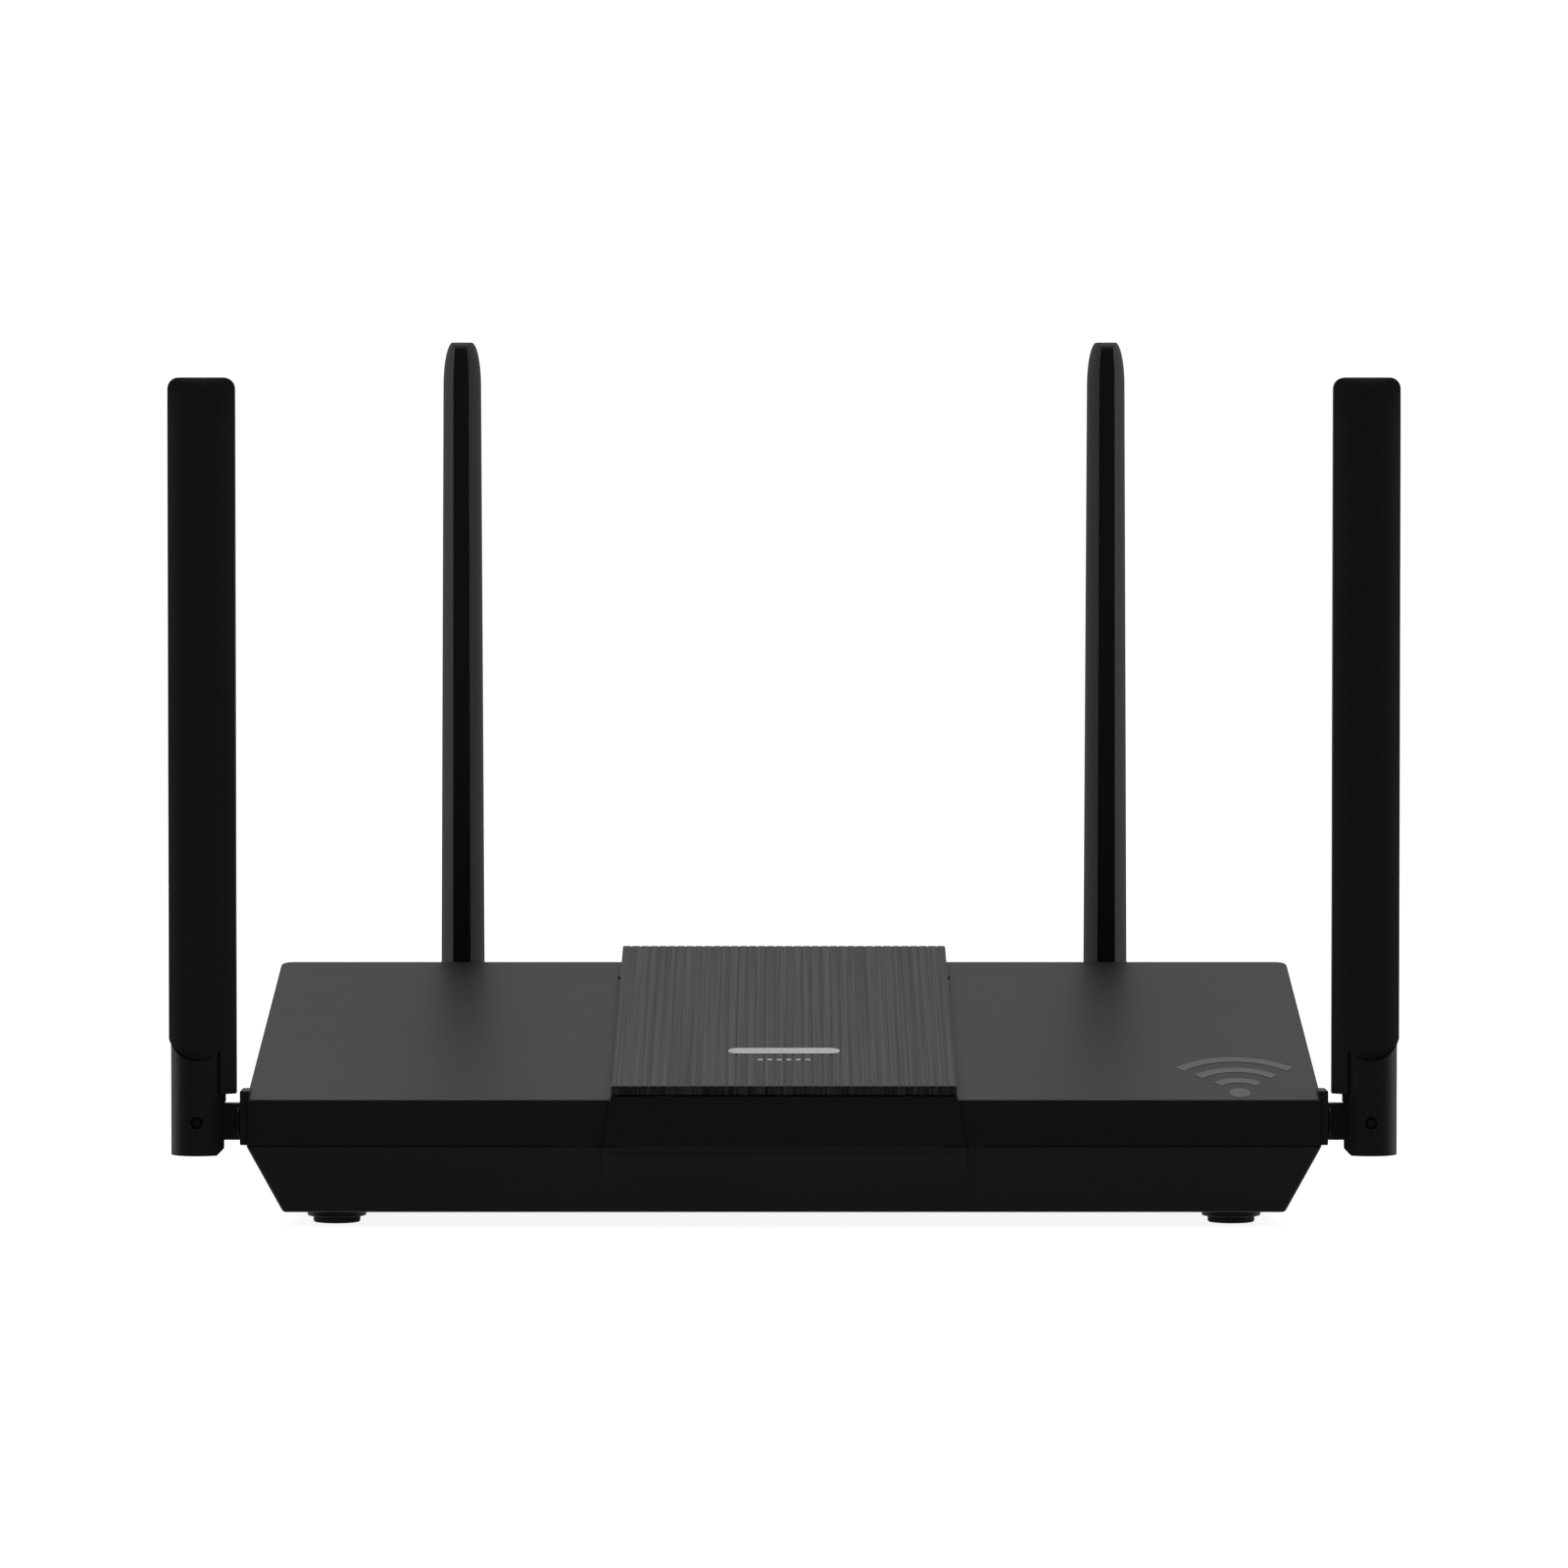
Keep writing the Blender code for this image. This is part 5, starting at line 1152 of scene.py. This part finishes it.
def makeButton(name, size):
    # a cap with a rounded rim and a shallow dish, on a square stem
    low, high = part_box(name + "_button")
    x, z = (low.x + high.x) / 2, (low.z + high.z) / 2
    face, cap = high.y, size["caps"][name]
    piece = startRod(name + "Cap", cap, (x, face - size["depth"], z), (x, face, z), 64)
    roundEdges(piece, lambda a, b: min(a.y, b.y) > face - tiny, cap * size["edge"], 4)
    pick(piece, "FACE", lambda middle, normal: normal.y > 0.999)
    bpy.ops.mesh.inset(thickness=cap * size["rim"])
    bpy.ops.mesh.inset(thickness=cap * size["slope"], depth=-size["dishes"][name])
    leave()
    half = size["stem"]
    unite(piece, startCube(
        "stem", (x - half, low.y, z - half), (x + half, face - size["depth"] / 2, z + half)))
    tidyMesh(piece)
    finish(piece, name + "_button", looks["button"], "button", name + "_button")


labelSizes = {
    "socketWords": {
        "lan_jack_1": "1", "lan_jack_2": "2", "lan_jack_3": "3", "lan_jack_4": "4", "wan_jack": "NET"},
    "buttonWords": {"power_button": "ON", "wps_button": "PAIR", "reset_button": "RESET", "dc_jack": "DC"},
    "socketLetter": 0.0022,
    "buttonLetter": 0.0019,
    "buttonGap": 0.0046,
    "gap": 0.0016,
    "thickness": 0.00005,
    "lift": 0.00003,
}


def makeLabel(node, words, top, letter, size):
    # raised lettering, turned to a mesh before it is placed, that reads from behind
    bpy.ops.object.select_all(action="DESELECT")
    bpy.ops.object.text_add()
    label = bpy.context.active_object
    label.data.body = words
    label.data.size = letter
    label.data.extrude = size["thickness"]
    label.data.align_x = "CENTER"
    label.data.align_y = "CENTER"
    bpy.ops.object.convert(target="MESH")
    label = bpy.context.active_object
    label.name = "label" + camel(node)
    label.rotation_euler = (math.pi / 2, 0, math.pi)
    label.location = (middleOf(node).x, ioHigh.y + size["lift"], top + size["gap"])
    bpy.ops.object.transform_apply(location=True, rotation=True, scale=True)
    tidyMesh(label)
    finish(label, "case", looks["paleInk"], "case")


def makeLabels(size):
    for node, words in size["socketWords"].items():
        makeLabel(node, words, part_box(node)[1].z, size["socketLetter"], size)
    for node, words in size["buttonWords"].items():
        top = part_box(node)[1].z if node == "dc_jack" else middleOf(node).z + size["buttonGap"]
        makeLabel(node, words, top, size["buttonLetter"], size)


makeRearPanel(
    plateSizes, [*labelSizes["socketWords"], "dc_jack"], [name + "_button" for name in buttonSizes["caps"]])
for jack in labelSizes["socketWords"]:
    makeJack(jack, socketSizes)
makeDcJack(dcSizes)
for name in buttonSizes["caps"]:
    makeButton(name, buttonSizes)
makeLabels(labelSizes)
print("back row made")


# Marks on the top: a blank badge, a row of lamps and a sign of waves, all plain

markSizes = {
    "badgeHalf": 0.0137,
    "badgeDepth": 0.0056,
    "badgeFromFront": 0.0325,
    "badgeProud": 0.0001,
    "badgeRound": 0.95,
    "badgeEdge": 0.00005,
    "lamps": 6,
    "lampPitch": 0.00232,
    "lampWidth": 0.0012,
    "lampDepth": 0.0016,
    "lampCorner": 0.0003,
    "lampEdge": 0.00004,
    "lampFromFront": 0.0238,
    "signX": 0.1105,
    "signFromFront": 0.0060,
    "signRadii": (0.0070, 0.0130, 0.0190),
    "signLine": 0.0026,
    "signLength": 1.7,
    "signDepth": 0.00006,
    "signLift": 0.00002,
}


def layOnTop(piece, y, lift):
    # tilts a flat piece that was made at height 0 on to the sloping top
    height = topHeight(y) + lift
    pick(piece, "VERT", lambda p: True)
    bpy.ops.transform.translate(value=(0, 0, height))
    bpy.ops.transform.rotate(value=-math.atan(slope), orient_axis="X", center_override=(0, y, height))
    leave()


def makeBadge(size):
    y, half, deep = front + size["badgeFromFront"], size["badgeHalf"], size["badgeDepth"] / 2
    lift = panelSizes["rise"] - panelSizes["grooveDepth"] / 2
    top = panelSizes["grooveDepth"] / 2 + size["badgeProud"]
    badge = startCube("badge", (-half, y - deep, 0), (half, y + deep, top))
    roundEdges(badge, lambda a, b: abs(a.z - b.z) > tiny, deep * size["badgeRound"], 8)
    roundEdges(badge, lambda a, b: min(a.z, b.z) > tiny, size["badgeEdge"], 2)
    layOnTop(badge, y, lift)
    tidyMesh(badge)
    finish(badge, "case", looks["badge"], "panel")
    y, half, deep = front + size["lampFromFront"], size["lampWidth"] / 2, size["lampDepth"] / 2
    lamp = startCube("lamps", (-half, y - deep, 0), (half, y + deep, top))
    roundEdges(lamp, lambda a, b: abs(a.z - b.z) > tiny, size["lampCorner"], 4)
    roundEdges(lamp, lambda a, b: min(a.z, b.z) > tiny, size["lampEdge"], 2)
    row = rowOf(lamp, spread(size["lamps"], size["lampPitch"]))
    layOnTop(row, y, lift)
    tidyMesh(row)
    finish(row, "case", looks["paleInk"], "light_guide")


def makeSign(size):
    # three arcs over a dot, printed near the right front corner
    y, line = front + size["signFromFront"], size["signLine"]
    reach = 2 * max(size["signRadii"])
    sign = startRod("sign", line, (0, y, 0), (0, y, size["signDepth"]), 32)
    for radius in size["signRadii"]:
        ring = startRod("ring", radius + line / 2, (0, y, 0), (0, y, size["signDepth"]), 96)
        carve(ring, startRod("bore", radius - line / 2, (0, y, -wall), (0, y, wall), 96))
        # what is kept widens evenly from the dot
        keep = startCube("keep", (-reach, y, -wall), (reach, y + reach, wall))
        stretch(keep, lambda p: p.y < y + tiny, (0.0, 1, 1), (0, y, 0))
        combine(ring, keep, "INTERSECT")
        unite(sign, ring)
    stretch(sign, lambda p: True, (1, size["signLength"], 1), (0, y, 0))
    shift(sign, lambda p: True, (size["signX"], 0, 0))
    layOnTop(sign, y, size["signLift"])
    tidyMesh(sign)
    finish(sign, "case", looks["greyInk"], "case")


makeBadge(markSizes)
makeSign(markSizes)
print("marks made")


# Floor, light and camera

floorSizes = {"width": 5.0, "dark": (0.60, 0.60, 0.60), "pale": (0.62, 0.62, 0.62), "glow": 0.90}


def makeFloor(size):
    bpy.ops.object.select_all(action="DESELECT")
    bpy.ops.mesh.primitive_plane_add(size=size["width"], location=(0, 0, 0))
    floor = bpy.context.active_object
    floor.name = "floor"
    paint, wire, shader, place = newLook("floorPaint")
    cloud = noise(wire, place, 3.0, 2.0)
    wire.feed(shader.inputs["Base Color"], mixColours(wire, cloud, size["dark"], size["pale"]))
    shader.inputs["Roughness"].default_value = 0.9
    shader.inputs["Emission Color"].default_value = (1, 1, 1, 1)
    shader.inputs["Emission Strength"].default_value = size["glow"]
    shader.inputs["Specular IOR Level"].default_value = 0.0
    # from below the floor is clear, so the underside can be looked at
    output = paint.node_tree.nodes["Material Output"]
    below = wire.node("ShaderNodeNewGeometry", {}, {}, "Backfacing")
    solid = Wire(wire.tree, shader.outputs[0])
    through = wire.node("ShaderNodeBsdfTransparent", {}, {})
    mixed = wire.node("ShaderNodeMixShader", {}, {0: below, 1: solid, 2: through})
    wire.feed(output.inputs["Surface"], mixed)
    floor.data.materials.append(paint)
    floor.visible_glossy = False


def addLight(name, place, aim, size, power):
    data = bpy.data.lights.new(name, "AREA")
    data.shape = "RECTANGLE"
    data.size, data.size_y = size
    data.energy = power
    light = bpy.data.objects.new(name, data)
    bpy.context.scene.collection.objects.link(light)
    light.location = place
    light.rotation_euler = (Vector(aim) - Vector(place)).to_track_quat("-Z", "Y").to_euler()


lightSizes = {
    "ceiling": {"place": (0, 0.3, 2.4), "aim": (0, 0, 0), "size": (3.0, 2.4), "power": 32.0},
    "left": {"place": (-0.55, 0.12, 0.18), "aim": (-0.15, -0.05, 0.08), "size": (0.30, 0.40), "power": 0.5},
    "right": {"place": (0.55, 0.12, 0.18), "aim": (0.15, -0.05, 0.08), "size": (0.30, 0.40), "power": 0.5},
}
worldSizes = {"seen": 1.05, "dim": 0.03, "pale": 0.45, "turnsPaleFrom": -0.25, "turnsPaleTo": 0.55}


def makeWorld(size):
    # plain white where the camera sees it; as light it is a dim room that is paler behind the object
    world = bpy.data.worlds.new("studio")
    world.use_nodes = True
    bpy.context.scene.world = world
    wire = Wire(world.node_tree)
    way = wire.node("ShaderNodeTexCoord", {}, {}, "Generated")
    back = wire.node("ShaderNodeSeparateXYZ", {}, {"Vector": way}, "Y")
    back = back.between(size["turnsPaleFrom"], size["turnsPaleTo"])
    direct = wire.node("ShaderNodeLightPath", {}, {}, "Is Camera Ray")
    white = (1.0, 1.0, 1.0, 1.0)
    plain = wire.node("ShaderNodeBackground", {}, {"Color": white, "Strength": size["seen"]})
    strength = size["dim"] + back * (size["pale"] - size["dim"])
    room = wire.node("ShaderNodeBackground", {}, {"Color": white, "Strength": strength})
    output = world.node_tree.nodes["World Output"]
    wire.feed(output.inputs["Surface"], wire.node("ShaderNodeMixShader", {}, {0: direct, 1: room, 2: plain}))


cameraSizes = {"distance": 1.914, "height": 0.1742, "tilt": 2.0, "lens": 182.25}


def makeCamera(size):
    data = bpy.data.cameras.new("camera")
    data.lens = size["lens"]
    data.sensor_width = 36.0
    data.clip_end = 50.0
    camera = bpy.data.objects.new("camera", data)
    bpy.context.scene.collection.objects.link(camera)
    camera.location = (0, front - size["distance"], size["height"])
    camera.rotation_euler = (math.radians(90 - size["tilt"]), 0, 0)
    bpy.context.scene.camera = camera


makeFloor(floorSizes)
makeWorld(worldSizes)
for name, light in lightSizes.items():
    addLight(name, light["place"], light["aim"], light["size"], light["power"])
makeCamera(cameraSizes)
bpy.context.scene.view_settings.view_transform = "Standard"
print("stage made")
